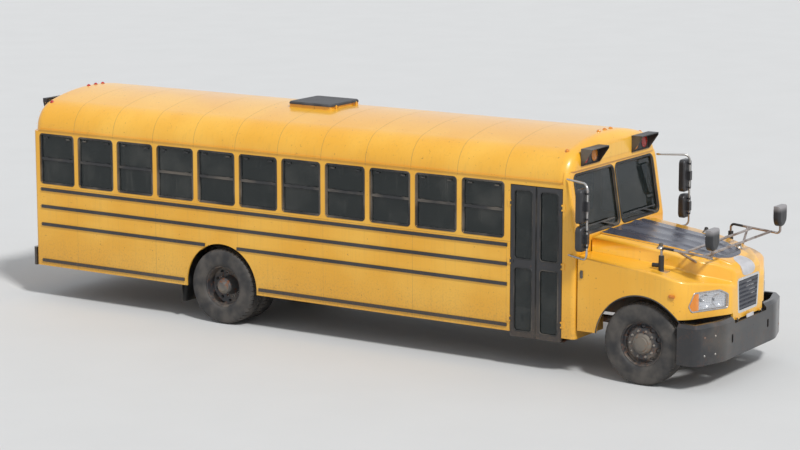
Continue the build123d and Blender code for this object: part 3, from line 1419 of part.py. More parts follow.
# Wheels: half sections as columns of distance along the axle and radius
rim_half = 105.0
rim_section = [(-rim_half, rim_radius), (rim_half, rim_radius), (rim_half, 268), (44, 268),
               (88, 205), (88, pilot_radius), (125, 78), (125, spindle_radius + shaft_clearance),
               (-75, spindle_radius + shaft_clearance), (-75, pilot_radius), (74, pilot_radius),
               (74, 200), (30, 262), (-rim_half, 268)]
tyre_section = [(-rim_half, rim_radius + seat_gap), (-tyre_width / 2, 400),
                (-tyre_width / 2 + 8, 470), (-tyre_width / 2 + 28, tyre_radius),
                (tyre_width / 2 - 28, tyre_radius), (tyre_width / 2 - 8, 470),
                (tyre_width / 2, 400), (rim_half, rim_radius + seat_gap)]


def turned(section, hub_x, axle_y, outward):
    """A wheel piece turned about its axle from its half section, facing outward."""
    with BuildPart() as piece:
        with BuildSketch(station(axle_y)):
            with BuildLine():
                Polyline(*[(hub_x + outward * reach, axle_z + radius)
                           for reach, radius in section], close=True)
            make_face()
        revolve(axis=Axis((0, axle_y, axle_z), (1, 0, 0)))
    return piece.part


rear_inner_x = rear_track / 2 - twin_spacing / 2
rear_outer_x = rear_track / 2 + twin_spacing / 2
rear_inner_section = [(-reach, radius) for reach, radius in rim_section]
for side, name in ((-1, "right"), (1, "left")):
    with BuildPart() as front_rim:
        add(turned(rim_section, side * front_hub_x, front_axle_y, side))
    front_rim.part.label = f"rim_front_{name}"
    export_step(front_rim.part, f"parts/rim_front_{name}.step")
    with BuildPart() as front_tyre:
        add(turned(tyre_section, side * front_hub_x, front_axle_y, side))
    front_tyre.part.label = f"tyre_front_{name}"
    export_step(front_tyre.part, f"parts/tyre_front_{name}.step")
    with BuildPart() as rear_rims:
        add(turned(rim_section, side * rear_inner_x, rear_axle_y, side))
        add(turned(rim_section, side * rear_outer_x, rear_axle_y, -side))
    rear_rims.part.label = f"rims_rear_{name}"
    export_step(rear_rims.part, f"parts/rims_rear_{name}.step")
    with BuildPart() as rear_tyres:
        for hub_x in (rear_inner_x, rear_outer_x):
            add(turned(tyre_section, side * hub_x, rear_axle_y, side))
    rear_tyres.part.label = f"tyres_rear_{name}"
    export_step(rear_tyres.part, f"parts/tyres_rear_{name}.step")

# Fuel tank outside the left rail, between the axles, on two straps
tank_y = front_axle_y + 3700
tank_length = 1300.0
tank_width = 560.0
tank_height = 420.0
tank_round = 60.0
tank_drop = 110.0
tank_gap = 12.0
strap_reach = 400.0
with BuildPart() as fuel_tank:
    with BuildSketch(station(tank_y - tank_length / 2)):
        with Locations((rail_half + tank_gap + tank_width / 2, rail_mid_z - tank_drop)):
            RectangleRounded(tank_width, tank_height, tank_round)
    extrude(amount=-tank_length)
    for offset_y in (-strap_reach, strap_reach):
        with Locations((rail_half, tank_y + offset_y, rail_mid_z)):
            Box(40, 70, 220, align=(Align.MIN, Align.CENTER, Align.CENTER))
fuel_tank.part.label = "fuel_tank"
export_step(fuel_tank.part, "parts/fuel_tank.step")

# Exhaust: muffler and pipe along the right rail to the tail
pipe_radius = 50.0
muffler_radius = 140.0
muffler_length = 1100.0
muffler_x = -(rail_half + 170)
muffler_z = 720.0
muffler_y = front_axle_y + 3300
tail_pipe_x = -520.0
down_pipe_x = -285.0
down_pipe_z = 580.0
pipe_bend = 200.0
hanger_reach = 350.0
with BuildPart() as exhaust:
    with Locations((muffler_x, muffler_y, muffler_z)):
        Cylinder(muffler_radius, muffler_length, rotation=(90, 0, 0))
    add(tube([(down_pipe_x, front_axle_y - 150, 700),
              (down_pipe_x, front_axle_y + 250, down_pipe_z),
              (down_pipe_x, front_axle_y + 1500, down_pipe_z),
              (muffler_x, front_axle_y + 2200, muffler_z),
              (muffler_x, muffler_y, muffler_z)], pipe_radius, pipe_bend))
    add(tube([(muffler_x, muffler_y, muffler_z), (muffler_x, muffler_y + 900, muffler_z),
              (tail_pipe_x, muffler_y + 1300, muffler_z), (tail_pipe_x, tail_y - 250, muffler_z)],
             pipe_radius, pipe_bend))
    # Hangers from the rail
    for hanger_y in (muffler_y - hanger_reach, muffler_y + hanger_reach):
        with Locations((-rail_half, hanger_y, muffler_z + 95)):
            Box(90, 40, 30, align=(Align.MAX, Align.CENTER, Align.CENTER))
exhaust.part.label = "exhaust"
export_step(exhaust.part, "parts/exhaust.step")

# Mud flaps behind the rear wheels
flap_width = 520.0
flap_length = 780.0
flap_thickness = 10.0
flap_y = rear_axle_y + 720
with BuildPart() as mud_flaps:
    for side in (-1, 1):
        with Locations((side * (rear_track / 2), flap_y, floor_z - floor_thickness)):
            Box(flap_width, flap_thickness, flap_length,
                align=(Align.CENTER, Align.CENTER, Align.MAX))
mud_flaps.part.label = "mud_flaps"
export_step(mud_flaps.part, "parts/mud_flaps.step")

# Wipers: an arm and blade for each pane
wiper_pivot_z = 50.0
wiper_x = 560.0
wiper_lift = 45.0
wiper_thickness = 12.0
blade_length = 700.0
blade_width = 16.0
blade_rise = 80.0
pivot_x = 333.0
pivot_radius = 14.0
with BuildPart() as wipers:
    for side in (-1, 1):
        with BuildSketch(pane_plane.offset(wiper_lift)):
            with Locations((side * wiper_x, wiper_pivot_z + blade_rise)):
                Rectangle(blade_length, blade_width)
            with BuildLine():
                Polyline((side * wiper_x + pivot_x - 13, wiper_pivot_z - 12),
                         (side * wiper_x + pivot_x + 17, wiper_pivot_z + 8),
                         (side * wiper_x + 20, wiper_pivot_z + blade_rise + 4),
                         (side * wiper_x, wiper_pivot_z + blade_rise - 4), close=True)
            make_face()
        extrude(amount=wiper_thickness)
        with BuildSketch(pane_plane):
            with Locations((side * wiper_x + pivot_x, wiper_pivot_z)):
                Circle(pivot_radius)
        extrude(amount=50)
    add(front_form(0), mode=Mode.SUBTRACT)
wipers.part.label = "wipers"
export_step(wipers.part, "parts/wipers.step")
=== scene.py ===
import math

import bmesh
import bpy
import numpy as np
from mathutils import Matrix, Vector


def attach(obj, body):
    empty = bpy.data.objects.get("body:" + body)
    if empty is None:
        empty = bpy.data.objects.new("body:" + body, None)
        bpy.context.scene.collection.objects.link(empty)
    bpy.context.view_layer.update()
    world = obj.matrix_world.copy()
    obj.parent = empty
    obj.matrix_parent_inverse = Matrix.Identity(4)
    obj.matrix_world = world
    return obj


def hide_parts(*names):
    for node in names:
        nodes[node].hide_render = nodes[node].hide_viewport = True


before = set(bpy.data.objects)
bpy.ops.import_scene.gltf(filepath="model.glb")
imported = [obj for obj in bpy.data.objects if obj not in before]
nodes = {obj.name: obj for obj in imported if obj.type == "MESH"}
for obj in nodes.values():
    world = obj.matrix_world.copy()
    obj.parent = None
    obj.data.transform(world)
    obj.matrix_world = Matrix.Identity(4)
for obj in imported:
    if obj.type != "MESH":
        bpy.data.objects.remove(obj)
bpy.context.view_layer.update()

# The studio: a pale floor under a pale world, one wide soft key lamp high on the
# door side ahead of the nose, and a long lens that looks back along the door side
# from a little above the mirrors.

view = bpy.context.scene.view_settings
view.view_transform = "Standard"

aim = Vector((0.0, -0.15, 1.42))
azimuth, elevation, distance = math.radians(-57.0), math.radians(10.5), 34.0
back = Vector((math.sin(azimuth) * math.cos(elevation),
               -math.cos(azimuth) * math.cos(elevation), math.sin(elevation)))
camera_data = bpy.data.cameras.new("view")
camera_data.lens = 112.0
camera_data.clip_end = 400.0
camera = bpy.data.objects.new("view", camera_data)
camera.location = aim + back * distance
camera.rotation_euler = (-back).to_track_quat("-Z", "Y").to_euler()
bpy.context.collection.objects.link(camera)
bpy.context.scene.camera = camera


class Shade:
    """One socket of a material. Python's + - * on it add Math nodes, so that a
    formula for a colour mask or a bump reads as it would on paper."""

    def __init__(self, tree, socket=None):
        self.tree = tree
        self.socket = socket

    def node(self, kind, settings, sockets, output=0):
        """Adds one node: its settings first, then its sockets' values or links."""
        made = self.tree.nodes.new(kind)
        for name, value in settings.items():
            setattr(made, name, value)
        for name, value in sockets.items():
            if isinstance(value, Shade):
                self.tree.links.new(value.socket, made.inputs[name])
            else:
                made.inputs[name].default_value = value
        return Shade(self.tree, made.outputs[output])

    def maths(self, operation, *values):
        """The Math node of one operation on up to three values."""
        return self.node("ShaderNodeMath", {"operation": operation},
                         dict(enumerate(values)))

    def __add__(self, other):
        return self.maths("ADD", self, other)

    def __sub__(self, other):
        return self.maths("SUBTRACT", self, other)

    def __rsub__(self, other):
        return self.maths("SUBTRACT", other, self)

    def __mul__(self, other):
        return self.maths("MULTIPLY", self, other)

    def size(self):
        """The value without its sign."""
        return self.maths("ABSOLUTE", self)

    def root(self):
        """The value's square root."""
        return self.maths("SQRT", self)

    def most(self, other):
        """The greater of two values."""
        return self.maths("MAXIMUM", self, other)

    def least(self, other):
        """The lesser of two values."""
        return self.maths("MINIMUM", self, other)

    def repeated(self, pitch):
        """How far the value is past the last whole pitch, from 20 pitches below 0."""
        return self.maths("MODULO", self + 20 * pitch, pitch)

    def part(self, name):
        """One of the three numbers of a vector."""
        return self.node("ShaderNodeSeparateXYZ", {}, {0: self}, name)

    def step(self, low_end, high_end):
        """0 below low_end, 1 above high_end and a smooth climb between them."""
        return self.node("ShaderNodeMapRange", {"interpolation_type": "SMOOTHSTEP"},
                         {"Value": self, "From Min": low_end, "From Max": high_end})

    def stretched(self, scale):
        """The coordinates with each direction multiplied by its own number."""
        return self.node("ShaderNodeMapping", {}, {"Vector": self, "Scale": scale})

    def noise(self, scale, detail=3.0):
        """Cloudy values about 0.5 on these coordinates."""
        return self.node("ShaderNodeTexNoise", {}, {"Vector": self, "Scale": scale,
                                                    "Detail": detail})

    def ridges(self, pitch):
        """A wave between 0 and 1 that repeats at each pitch of this value."""
        return self.maths("SINE", self * (2.0 * math.pi / pitch)) * 0.5 + 0.5

    def line_at(self, place, width):
        """1 within half a width of the place, 0 away from it."""
        return 1.0 - (self - place).size().step(width * 0.35, width * 0.65)

    def between(self, first, second):
        """The colour that lies this far from the first colour to the second."""
        return self.node("ShaderNodeMix", {"data_type": "RGBA"},
                         {0: self, 6: first, 7: second}, 2)

    def mark(self, name):
        """A number kept at each corner of the mesh under this name."""
        return self.node("ShaderNodeAttribute", {"attribute_name": name}, {}, "Fac")


def material(name, bsdf, build):
    """A material whose fixed sockets are given by name. build gets the shade on
    Object coordinates and returns the varying sockets, and "Bump" as a height from
    0 to 1, its strength and its depth in metres."""
    made = bpy.data.materials.new(name)
    made.use_nodes = True
    tree = made.node_tree
    shader = tree.nodes["Principled BSDF"]
    for socket, value in bsdf.items():
        shader.inputs[socket].default_value = value
    place = Shade(tree, tree.nodes.new("ShaderNodeTexCoord").outputs["Object"])
    varying = build(place)
    if "Bump" in varying:
        height, strength, depth = varying.pop("Bump")
        varying["Normal"] = place.node("ShaderNodeBump", {}, {
            "Height": height, "Strength": strength, "Distance": depth})
    for socket, shade in varying.items():
        tree.links.new(shade.socket, shader.inputs[socket])
    return made


reach = 300.0
floor_mesh = bpy.data.meshes.new("studio_floor")
floor_mesh.from_pydata([(-reach, -reach, 0), (reach, -reach, 0), (reach, reach, 0),
                        (-reach, reach, 0)], [], [(0, 1, 2, 3)])
studio_floor = bpy.data.objects.new("studio_floor", floor_mesh)
bpy.context.collection.objects.link(studio_floor)
floor_mesh.materials.append(material("floor_grey", {"Roughness": 0.8}, lambda place: {
    "Base Color": place.noise(0.8).between((0.62, 0.62, 0.61, 1), (0.66, 0.66, 0.65, 1))}))

world = bpy.data.worlds.new("studio")
world.use_nodes = True
bpy.context.scene.world = world
backdrop = world.node_tree.nodes["Background"]
backdrop.inputs["Color"].default_value = (0.92, 0.95, 1.0, 1)
rays = Shade(world.node_tree)
seen = rays.node("ShaderNodeLightPath", {}, {}, "Is Camera Ray")
mirrored = rays.node("ShaderNodeLightPath", {}, {}, "Is Glossy Ray")
passed = rays.node("ShaderNodeLightPath", {}, {}, "Is Transmission Ray")
lit_strength, seen_extra = 0.55, 0.33
strength = seen.most(mirrored).most(passed) * seen_extra + lit_strength
world.node_tree.links.new(strength.socket, backdrop.inputs["Strength"])
key_from = Vector((-0.55, -1.0, 1.25))
key_data = bpy.data.lights.new("key", "SUN")
key_data.energy = 2.5
key_data.angle = math.radians(8)
key = bpy.data.objects.new("key", key_data)
key.rotation_euler = key_from.to_track_quat("Z", "Y").to_euler()
bpy.context.collection.objects.link(key)

# The chassis: two pressed channels with riveted cross members, a dropped front
# beam and a banjo rear axle on leaf springs. All of it is sprayed with black frame
# paint, which grit and salt have dulled and rust has opened along the edges.

dust = (0.30, 0.25, 0.19, 1)
rust = (0.16, 0.055, 0.02, 1)


def worn(name, colour, rough, metallic=0.0, rusted=0.5, dusted=0.5, coat=0.0):
    """Painted or bare metal: rust breaks through where two noises agree, and
    road dust lies on it in clouds."""
    def build(place):
        """Colour, gloss and bump of the metal under its rust and dust."""
        spots = (place.noise(7.0, 6.0) * place.noise(31.0, 4.0)).step(0.27, 0.36) * rusted
        film = place.noise(2.3, 5.0).step(0.42, 0.7) * dusted
        shade = place.noise(13.0, 3.0).between(
            colour, tuple(0.7 * part + 0.012 for part in colour[:3]) + (1,))
        varying = {"Base Color": film.between(spots.between(shade, rust), dust),
                   "Roughness": spots * 0.3 + film * 0.3 + rough,
                   "Bump": (place.noise(90.0, 4.0) * 0.4 + spots, 0.3, 0.0015)}
        if metallic:
            varying["Metallic"] = (1.0 - spots) * (1.0 - film * 0.8) * metallic
        return varying
    return material(name, {"Coat Weight": coat, "Coat Roughness": 0.15}, build)


def finish(look, *names):
    """Gives CAD nodes a material through their objects' own slots."""
    for name in names:
        for held in nodes[name].material_slots:
            held.link = "OBJECT"
            held.material = look


frame_black = worn("frame_black", (0.03, 0.03, 0.033, 1), 0.55, rusted=0.8)
cast_grey = worn("cast_grey", (0.10, 0.10, 0.10, 1), 0.6, 0.3, rusted=0.9)
spring_steel = worn("spring_steel", (0.14, 0.13, 0.12, 1), 0.55, 0.7, rusted=1.0)
finish(frame_black, "frame_rails", "front_axle", "rear_axle", "fuel_tank", "step_well")
finish(cast_grey, "engine", "knuckle_left", "knuckle_right", "tie_rod")
finish(spring_steel, "leaf_springs")
finish(worn("pipe_steel", (0.30, 0.27, 0.24, 1), 0.45, 0.8, rusted=1.0), "exhaust")


def cooling_fins(place):
    """Upright tubes with close fins between them, as height and as shade."""
    fins = place.part("X").ridges(0.012) * 0.6 + place.part("Z").ridges(0.004) * 0.4
    return {"Base Color": fins.between((0.07, 0.07, 0.07, 1), (0.42, 0.42, 0.41, 1)),
            "Roughness": fins * 0.2 + 0.4, "Bump": (fins, 0.8, 0.004)}


finish(material("radiator_core", {"Metallic": 0.8}, cooling_fins), "radiator")

# The tyres: six steel-belted radials of black rubber. The steered pair has four
# plain grooves and fine shoulder cuts, and the driven twins have deep blocks for snow.


def put(name, corners, faces, look, body, slot, marks=None, crease=35.0):
    """A mesh of corners and equal faces, welded, turned outwards and smooth but
    for edges sharper than crease degrees. It rides on a body."""
    mesh = bpy.data.meshes.new(name)
    corners, faces = np.asarray(corners, float), np.asarray(faces, int)
    count, sides = faces.shape
    mesh.vertices.add(len(corners))
    mesh.vertices.foreach_set("co", corners.ravel())
    mesh.loops.add(count * sides)
    mesh.loops.foreach_set("vertex_index", faces.ravel())
    mesh.polygons.add(count)
    mesh.polygons.foreach_set("loop_start", np.arange(count) * sides)
    mesh.update(calc_edges=True)
    for label, values in (marks or {}).items():
        kept = mesh.attributes.new(label, "FLOAT", "POINT")
        kept.data.foreach_set("value", np.asarray(values, float).ravel())
    form = bmesh.new()
    form.from_mesh(mesh)
    bmesh.ops.remove_doubles(form, verts=form.verts, dist=1e-5)
    bmesh.ops.recalc_face_normals(form, faces=form.faces)
    form.to_mesh(mesh)
    form.free()
    mesh.validate()
    mesh.polygons.foreach_set("use_smooth", np.ones(len(mesh.polygons), bool))
    mesh.set_sharp_from_angle(angle=math.radians(crease))
    mesh.materials.append(look)
    piece = bpy.data.objects.new(name, mesh)
    bpy.context.collection.objects.link(piece)
    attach(piece, body)
    return piece


def woven(rows, columns, along=False, around=False):
    """The faces of a grid of corners. along joins the last row to the first, and
    around the last column to the first."""
    index = np.arange(rows * columns).reshape(rows, columns)
    if along:
        index = np.vstack([index, index[:1]])
    if around:
        index = np.hstack([index, index[:, :1]])
    return np.stack([index[:-1, :-1], index[:-1, 1:], index[1:, 1:], index[1:, :-1]],
                    -1).reshape(-1, 4)


def joined(grids, along=True, around=True):
    """Grids of one size as the corners and faces of one mesh."""
    rows, columns = grids[0].shape[:2]
    net = woven(rows, columns, along, around)
    return (np.concatenate([grid.reshape(-1, 3) for grid in grids]),
            np.concatenate([net + k * rows * columns for k in range(len(grids))]))


tyre_half, tyre_mid, tyre_bulge, tyre_power = 0.1393, 0.400, 0.1248, 4.5
tread_half, groove_half, groove_depth, groove_wall = 0.121, 0.0045, 0.012, 0.003
# Lugs round a tyre, and the rows of each: their share of its pitch, and 1 in the cut
lugs, lug_share, lug_cut = 48, (0.0, 0.03, 0.20, 0.23, 0.62), (0.0, 1.0, 1.0, 0.0, 0.0)
axle_z, hub_front_y, hub_rear_y = 0.525, -4.460, 1.992
hub_front_x, twin_inner_x, twin_outer_x = 1.025, 0.750, 1.080
# A tread: its grooves, and the reach, depth and lean of the cuts across it
steered_tread = ((-0.030, 0.030, 0.078, -0.078), 0.082, 0.006, 0.1)
driven_tread = ((-0.045, 0.045, 0.0), 0.048, 0.014, 0.35)


def tyre_outline(grooves):
    """The section of a tyre from bead to bead, as its reaches and its radii, which
    lie on a superellipse: even reaches under the tread, and chosen radii down the
    walls. A narrow row stands at each edge of a groove."""
    edges = [place + side * (groove_half + extra) for place in grooves
             for side in (-1, 1) for extra in (0.0, groove_wall)]
    reach = np.unique(np.round(np.r_[np.linspace(-tread_half, tread_half, 13), edges], 5))
    radius = tyre_mid + tyre_bulge * (1 - (np.abs(reach) / tyre_half) ** tyre_power) ** (
        1 / tyre_power)
    down = np.array([0.500, 0.490, 0.470, 0.440, 0.40, 0.36, 0.335, 0.325, 0.31, 0.295, 0.287])
    wall = tyre_half * (1 - (np.abs(down - tyre_mid) / tyre_bulge) ** tyre_power) ** (
        1 / tyre_power)
    return np.r_[-wall[::-1], reach, wall], np.r_[down[::-1], radius, down]


def tyre_points(centre_x, centre_y, tread):
    """The outline turned about the axle, with a mark where the tread is cut. The
    tread is pressed towards the axle in grooves round the tyre and in cuts across
    it, which lean by their distance from the middle, so that they meet in a V."""
    grooves, cut_from, cut_depth, cut_lean = tread
    reach, radius = tyre_outline(grooves)
    turn = (np.arange(lugs)[:, None] + np.array(lug_share)).ravel() * 2 * math.pi / lugs
    cut = np.tile(np.array(lug_cut), lugs)
    on_tread = (np.abs(reach) < tread_half + 0.001) & (radius > tyre_mid)
    in_groove = sum(np.abs(reach - place) < groove_half + 0.001 for place in grooves) > 0
    across = (np.abs(reach) > cut_from) & on_tread
    depth = np.maximum(groove_depth * (in_groove & on_tread)[:, None],
                       cut_depth * across[:, None] * cut[None, :])
    low = radius[:, None] - depth
    lean = cut_lean * (reach / tyre_half * (np.abs(reach) < 0.13))[:, None]
    angle = turn[None, :] + lean * 2 * math.pi / lugs
    points = np.stack([centre_x + reach[:, None] + 0.0 * angle,
                       centre_y + low * np.sin(angle), axle_z + low * np.cos(angle)], -1)
    return points, depth > 0.004


def rubber(place):
    """Black rubber browned by dust, paler in the grooves and on the shoulder."""
    film = place.noise(5.0, 6.0).step(0.3, 0.75) * 0.55
    veil = (film + place.mark("groove") * 0.45).least(0.8)
    return {"Base Color": veil.between((0.022, 0.022, 0.023, 1), (0.16, 0.14, 0.12, 1)),
            "Roughness": veil * 0.2 + 0.62,
            "Bump": (place.noise(160.0, 3.0), 0.25, 0.001)}


tyre_rubber = material("tyre_rubber", {}, rubber)

for name, body, node, hubs, centre_y, tread in (
        ("front_tyre_", "wheel_front_", "tyre_front_", (hub_front_x,), hub_front_y, steered_tread),
        ("rear_tyres_", "wheels_rear_", "tyres_rear_", (twin_inner_x, twin_outer_x), hub_rear_y,
         driven_tread)):
    for side, hand in ((1, "left"), (-1, "right")):
        grids, marks = zip(*(tyre_points(side * hub, centre_y, tread) for hub in hubs))
        piece = put(name + hand, *joined(grids), tyre_rubber, body + hand, "tyre",
                    {"groove": marks}, crease=30.0)
        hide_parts(node + hand)

# The wheels: pressed steel discs with ten hand holes, welded into their rims,
# painted black and held by ten flanged nuts. The driven twins are bolted back to
# back, so the outer disc lies deep in its rim round the axle's end.

hole_count, hole_radius, hole_depth, hole_half_turn, hole_half_rise = (
    10, 0.221, 0.022, 0.027, 0.017)
stud_radius, front_nut_reach, rear_nut_reach = 0.1675, 0.0895, -0.0715
disc_sides = 160
# Sections of reach along the axle and radius
outer_face = [(0.103, 0.2855), (0.104, 0.281), (0.098, 0.273), (0.066, 0.267),
              (0.050, 0.262), (0.046, 0.252), (0.048, 0.244), (0.054, 0.237), (0.061, 0.229),
              (0.068, 0.221), (0.075, 0.213), (0.082, 0.205), (0.087, 0.197), (0.090, 0.188),
              (0.090, 0.150), (0.090, 0.134)]
back_face = [(0.072, 0.134), (0.072, 0.195), (0.030, 0.255), (-0.060, 0.265),
             (-0.098, 0.273), (-0.104, 0.281), (-0.103, 0.2855)]
hub_front = [(0.089, 0.136), (0.106, 0.128), (0.122, 0.112), (0.124, 0.090), (0.136, 0.084),
             (0.138, 0.060), (0.138, 0.0)]
hub_rear = [(-0.089, 0.136), (-0.060, 0.130), (-0.020, 0.118), (0.075, 0.108),
            (0.085, 0.100), (0.100, 0.098), (0.103, 0.092), (0.134, 0.060), (0.136, 0.0)]


def turns(count):
    """Even angles round one full turn."""
    return np.arange(count) * 2 * math.pi / count


def turned(section, hub_x, centre_y, outward, sides):
    """A section of reach and radius carried round the axle."""
    reach, radius = np.array(section).T[..., None]
    angle = turns(sides)
    return np.stack([hub_x + outward * reach + 0.0 * angle, centre_y + radius * np.sin(angle),
                     axle_z + radius * np.cos(angle)], -1)


def disc_points(hub_x, centre_y, outward):
    """The disc and rim turned about the axle. Each hand hole is an oval pocket,
    pressed back from the disc where the distance from its middle is under about 1."""
    section = outer_face + back_face
    points = turned(section, hub_x, centre_y, outward, disc_sides)
    radius = np.array(section)[:, 1:]
    pitch = 2 * math.pi / hole_count
    swing = (np.mod(turns(disc_sides) + pitch / 2, pitch) - pitch / 2) * radius
    away = (swing / hole_half_turn) ** 2 + ((radius - hole_radius) / hole_half_rise) ** 2
    hole = np.clip((1.25 - away) * 2.5, 0.0, 1.0)
    hole[len(outer_face):] = 0.0
    points[..., 0] -= outward * hole_depth * hole
    return points, hole


def cap(radius, height, rings, sides):
    """A dome on a flat foot: its height falls with the distance in from the foot,
    by a power of 2.4, so that it is steep at the foot and flat on top."""
    share = np.arange(rings)[:, None] / rings
    angle = turns(sides)
    span = (1.0 - share) * radius
    rise = height * (1.0 - (1.0 - share) ** 2.4)
    corners = np.stack([span * np.cos(angle), span * np.sin(angle), rise + 0.0 * angle], -1)
    corners = np.vstack([corners.reshape(-1, 3), [[0.0, 0.0, height]]])
    quads = woven(rings, sides, around=True)
    faces = np.vstack([quads[:, [0, 1, 2]], quads[:, [0, 2, 3]]])
    last = np.arange(sides) + (rings - 1) * sides
    tip = np.full(sides, rings * sides)
    return corners, np.vstack([faces, np.stack([last, np.roll(last, -1), tip], -1)])


def strewn(shape, places, normals):
    """Copies of one small shape at many places, its own z along each normal."""
    corners, faces = shape
    places, normals = np.atleast_2d(places), np.atleast_2d(normals).astype(float)
    normals = np.broadcast_to(normals, places.shape)
    normals = normals / np.linalg.norm(normals, axis=1)[:, None]
    helper = np.where(np.abs(normals[:, 2:3]) > 0.9, [[1.0, 0.0, 0.0]], [[0.0, 0.0, 1.0]])
    first = np.cross(helper, normals)
    first /= np.linalg.norm(first, axis=1)[:, None]
    second = np.cross(normals, first)
    frames = np.stack([first, second, normals], -1)
    spread = np.einsum("mij,nj->mni", frames, corners) + places[:, None]
    shift = np.arange(len(places))[:, None, None] * len(corners)
    return spread.reshape(-1, 3), (faces[None] + shift).reshape(-1, faces.shape[1])


def wheel_black_and_hole_shade(place):
    """Black wheel paint, chalked and dusted, with painted shade nearly black inside each hand
    hole.
    """
    film = place.noise(6.0, 5.0).step(0.4, 0.72) * 0.6
    chips = (place.noise(24.0, 5.0) * place.noise(60.0, 3.0)).step(0.28, 0.36)
    ground = chips.between((0.032, 0.032, 0.035, 1), (0.12, 0.05, 0.025, 1))
    dusted = film.between(ground, (0.24, 0.20, 0.16, 1))
    # Painted shade: the hole mark turns the inside of each hand hole nearly black.
    return {"Base Color": place.mark("hole").between(dusted, (0.003, 0.003, 0.003, 1)),
            "Roughness": film * 0.35 + 0.42, "Bump": (place.noise(140.0, 3.0), 0.2, 0.001)}


wheel_paint = material("wheel_paint", {"Coat Weight": 0.1}, wheel_black_and_hole_shade)
nut_steel = worn("nut_steel", (0.42, 0.40, 0.37, 1), 0.4, 0.8, rusted=0.8, dusted=0.4)


def wheel(name, body, discs, hub, side, centre_y, nut_reach, node):
    """Discs back to back, the hub through them and ten nuts round it. The last
    disc is the one that the nuts hold."""
    # The hole mark carries the painted shade for the hand holes.
    grids, hole_shade_marks = zip(*(disc_points(x, centre_y, outward) for x, outward in discs))
    piece = put(name, *joined(grids), wheel_paint, body, "wheel_paint", {"hole": hole_shade_marks})
    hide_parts(node)
    hub_x = discs[-1][0]
    put(name + "_hub", *joined([turned(hub, hub_x, centre_y, side, 48)], along=False),
        cast_grey, body, "cast", crease=28.0)
    angle = (np.arange(hole_count) + 0.5) * 2 * math.pi / hole_count
    places = np.stack([np.full(hole_count, hub_x + side * nut_reach),
                       centre_y + stud_radius * np.sin(angle),
                       axle_z + stud_radius * np.cos(angle)], -1)
    flange, flange_faces = strewn(cap(0.019, 0.004, 1, 12), places, (side, 0, 0))
    nut, nut_faces = strewn(cap(0.0155, 0.030, 3, 6), places, (side, 0, 0))
    put(name + "_nuts", np.vstack([flange, nut]),
        np.vstack([flange_faces, nut_faces + len(flange)]), nut_steel, body, "steel")


for side, hand in ((1, "left"), (-1, "right")):
    wheel("front_wheel_" + hand, "wheel_front_" + hand, [(side * hub_front_x, side)], hub_front,
          side, hub_front_y, front_nut_reach, "rim_front_" + hand)
    wheel("rear_wheels_" + hand, "wheels_rear_" + hand,
          [(side * twin_inner_x, side), (side * twin_outer_x, -side)], hub_rear, side,
          hub_rear_y, rear_nut_reach, "rims_rear_" + hand)

# The floor and seats: ribbed black rubber on a steel deck. Eleven rows of high
# benches stand on black tube legs, foam in dark green vinyl with piped seams.

body_half, floor_z, wall_inner = 1.219, 1.060, 1.154
deck_top = floor_z - 0.004


def deck(place):
    """Rubber with ribs along the aisle above the deck, dusty frame paint below."""
    top = place.part("Z").step(deck_top - 0.003, deck_top)
    ribs = place.part("X").ridges(0.022) * top
    film = place.noise(3.0, 6.0).step(0.35, 0.75) * 0.6
    sheet = top.between((0.035, 0.034, 0.034, 1), (0.028, 0.028, 0.03, 1))
    return {"Base Color": film.between(sheet, (0.17, 0.14, 0.11, 1)),
            "Roughness": film * 0.3 + 0.55, "Bump": (ribs, 0.5, 0.003)}


finish(material("deck_rubber", {}, deck), "floor")

bench_width, bench_pitch, bench_rows, bench_first_y = 0.960, 0.700, 11, -1.940
house_half, house_inward = 0.85, 0.21
cushion_half_x, cushion_half_y, cushion_half_z = bench_width / 2 - 0.006, 0.208, 0.062
cushion_y, cushion_z, cushion_crown = -0.205, floor_z + 0.372, 0.012
back_y, back_z, back_half_y, back_half_z = 0.055, floor_z + 0.755, 0.040, 0.352
back_lean, back_pivot_z, back_power = math.radians(6.0), floor_z + 0.40, 6.0
seam_half_x, seam_half_z, seam_y, seam_radius = bench_width / 2 - 0.045, 0.305, -0.031, 0.005
leg_radius, leg_height, leg_inset, leg_rows = 0.014, 0.315, 0.07, (-0.06, -0.35)


def pad(middle, halves, crown, power=5.0):
    """A cushion on a grid of two angles, bottom to top and round. Across and
    along it follow a superellipse, so its sides pull in between the corners, and
    the middle of its upper face is raised by the crown."""
    tilt = np.linspace(-math.pi / 2, math.pi / 2, 13)[:, None]
    turn = turns(32)
    bend = 2.0 / power

    def soft(value, share):
        """A power of the value's size, with its sign kept."""
        return np.sign(value) * np.abs(value) ** share

    across = soft(np.cos(tilt), 0.5) * soft(np.cos(turn), bend)
    along = soft(np.cos(tilt), 0.5) * soft(np.sin(turn), bend)
    rise = soft(np.sin(tilt), 0.55) + 0.0 * turn
    pull = 1.0 - 0.035 * (1.0 - np.abs(rise)) * (np.cos(2 * turn) ** 2)
    lift = crown * np.clip(1 - across ** 2, 0, 1) * np.clip(1 - along ** 2, 0, 1) * (rise > 0)
    points = np.stack([across * pull * halves[0], along * pull * halves[1],
                       rise * halves[2] + lift], -1)
    return points + np.array(middle)


def tilted(points, pivot, angle):
    """Points leant back about a line across the bus through the pivot."""
    rel = points - np.array(pivot)
    cosine, sine = math.cos(angle), math.sin(angle)
    return np.stack([rel[..., 0], rel[..., 1] * cosine + rel[..., 2] * sine,
                     -rel[..., 1] * sine + rel[..., 2] * cosine], -1) + np.array(pivot)


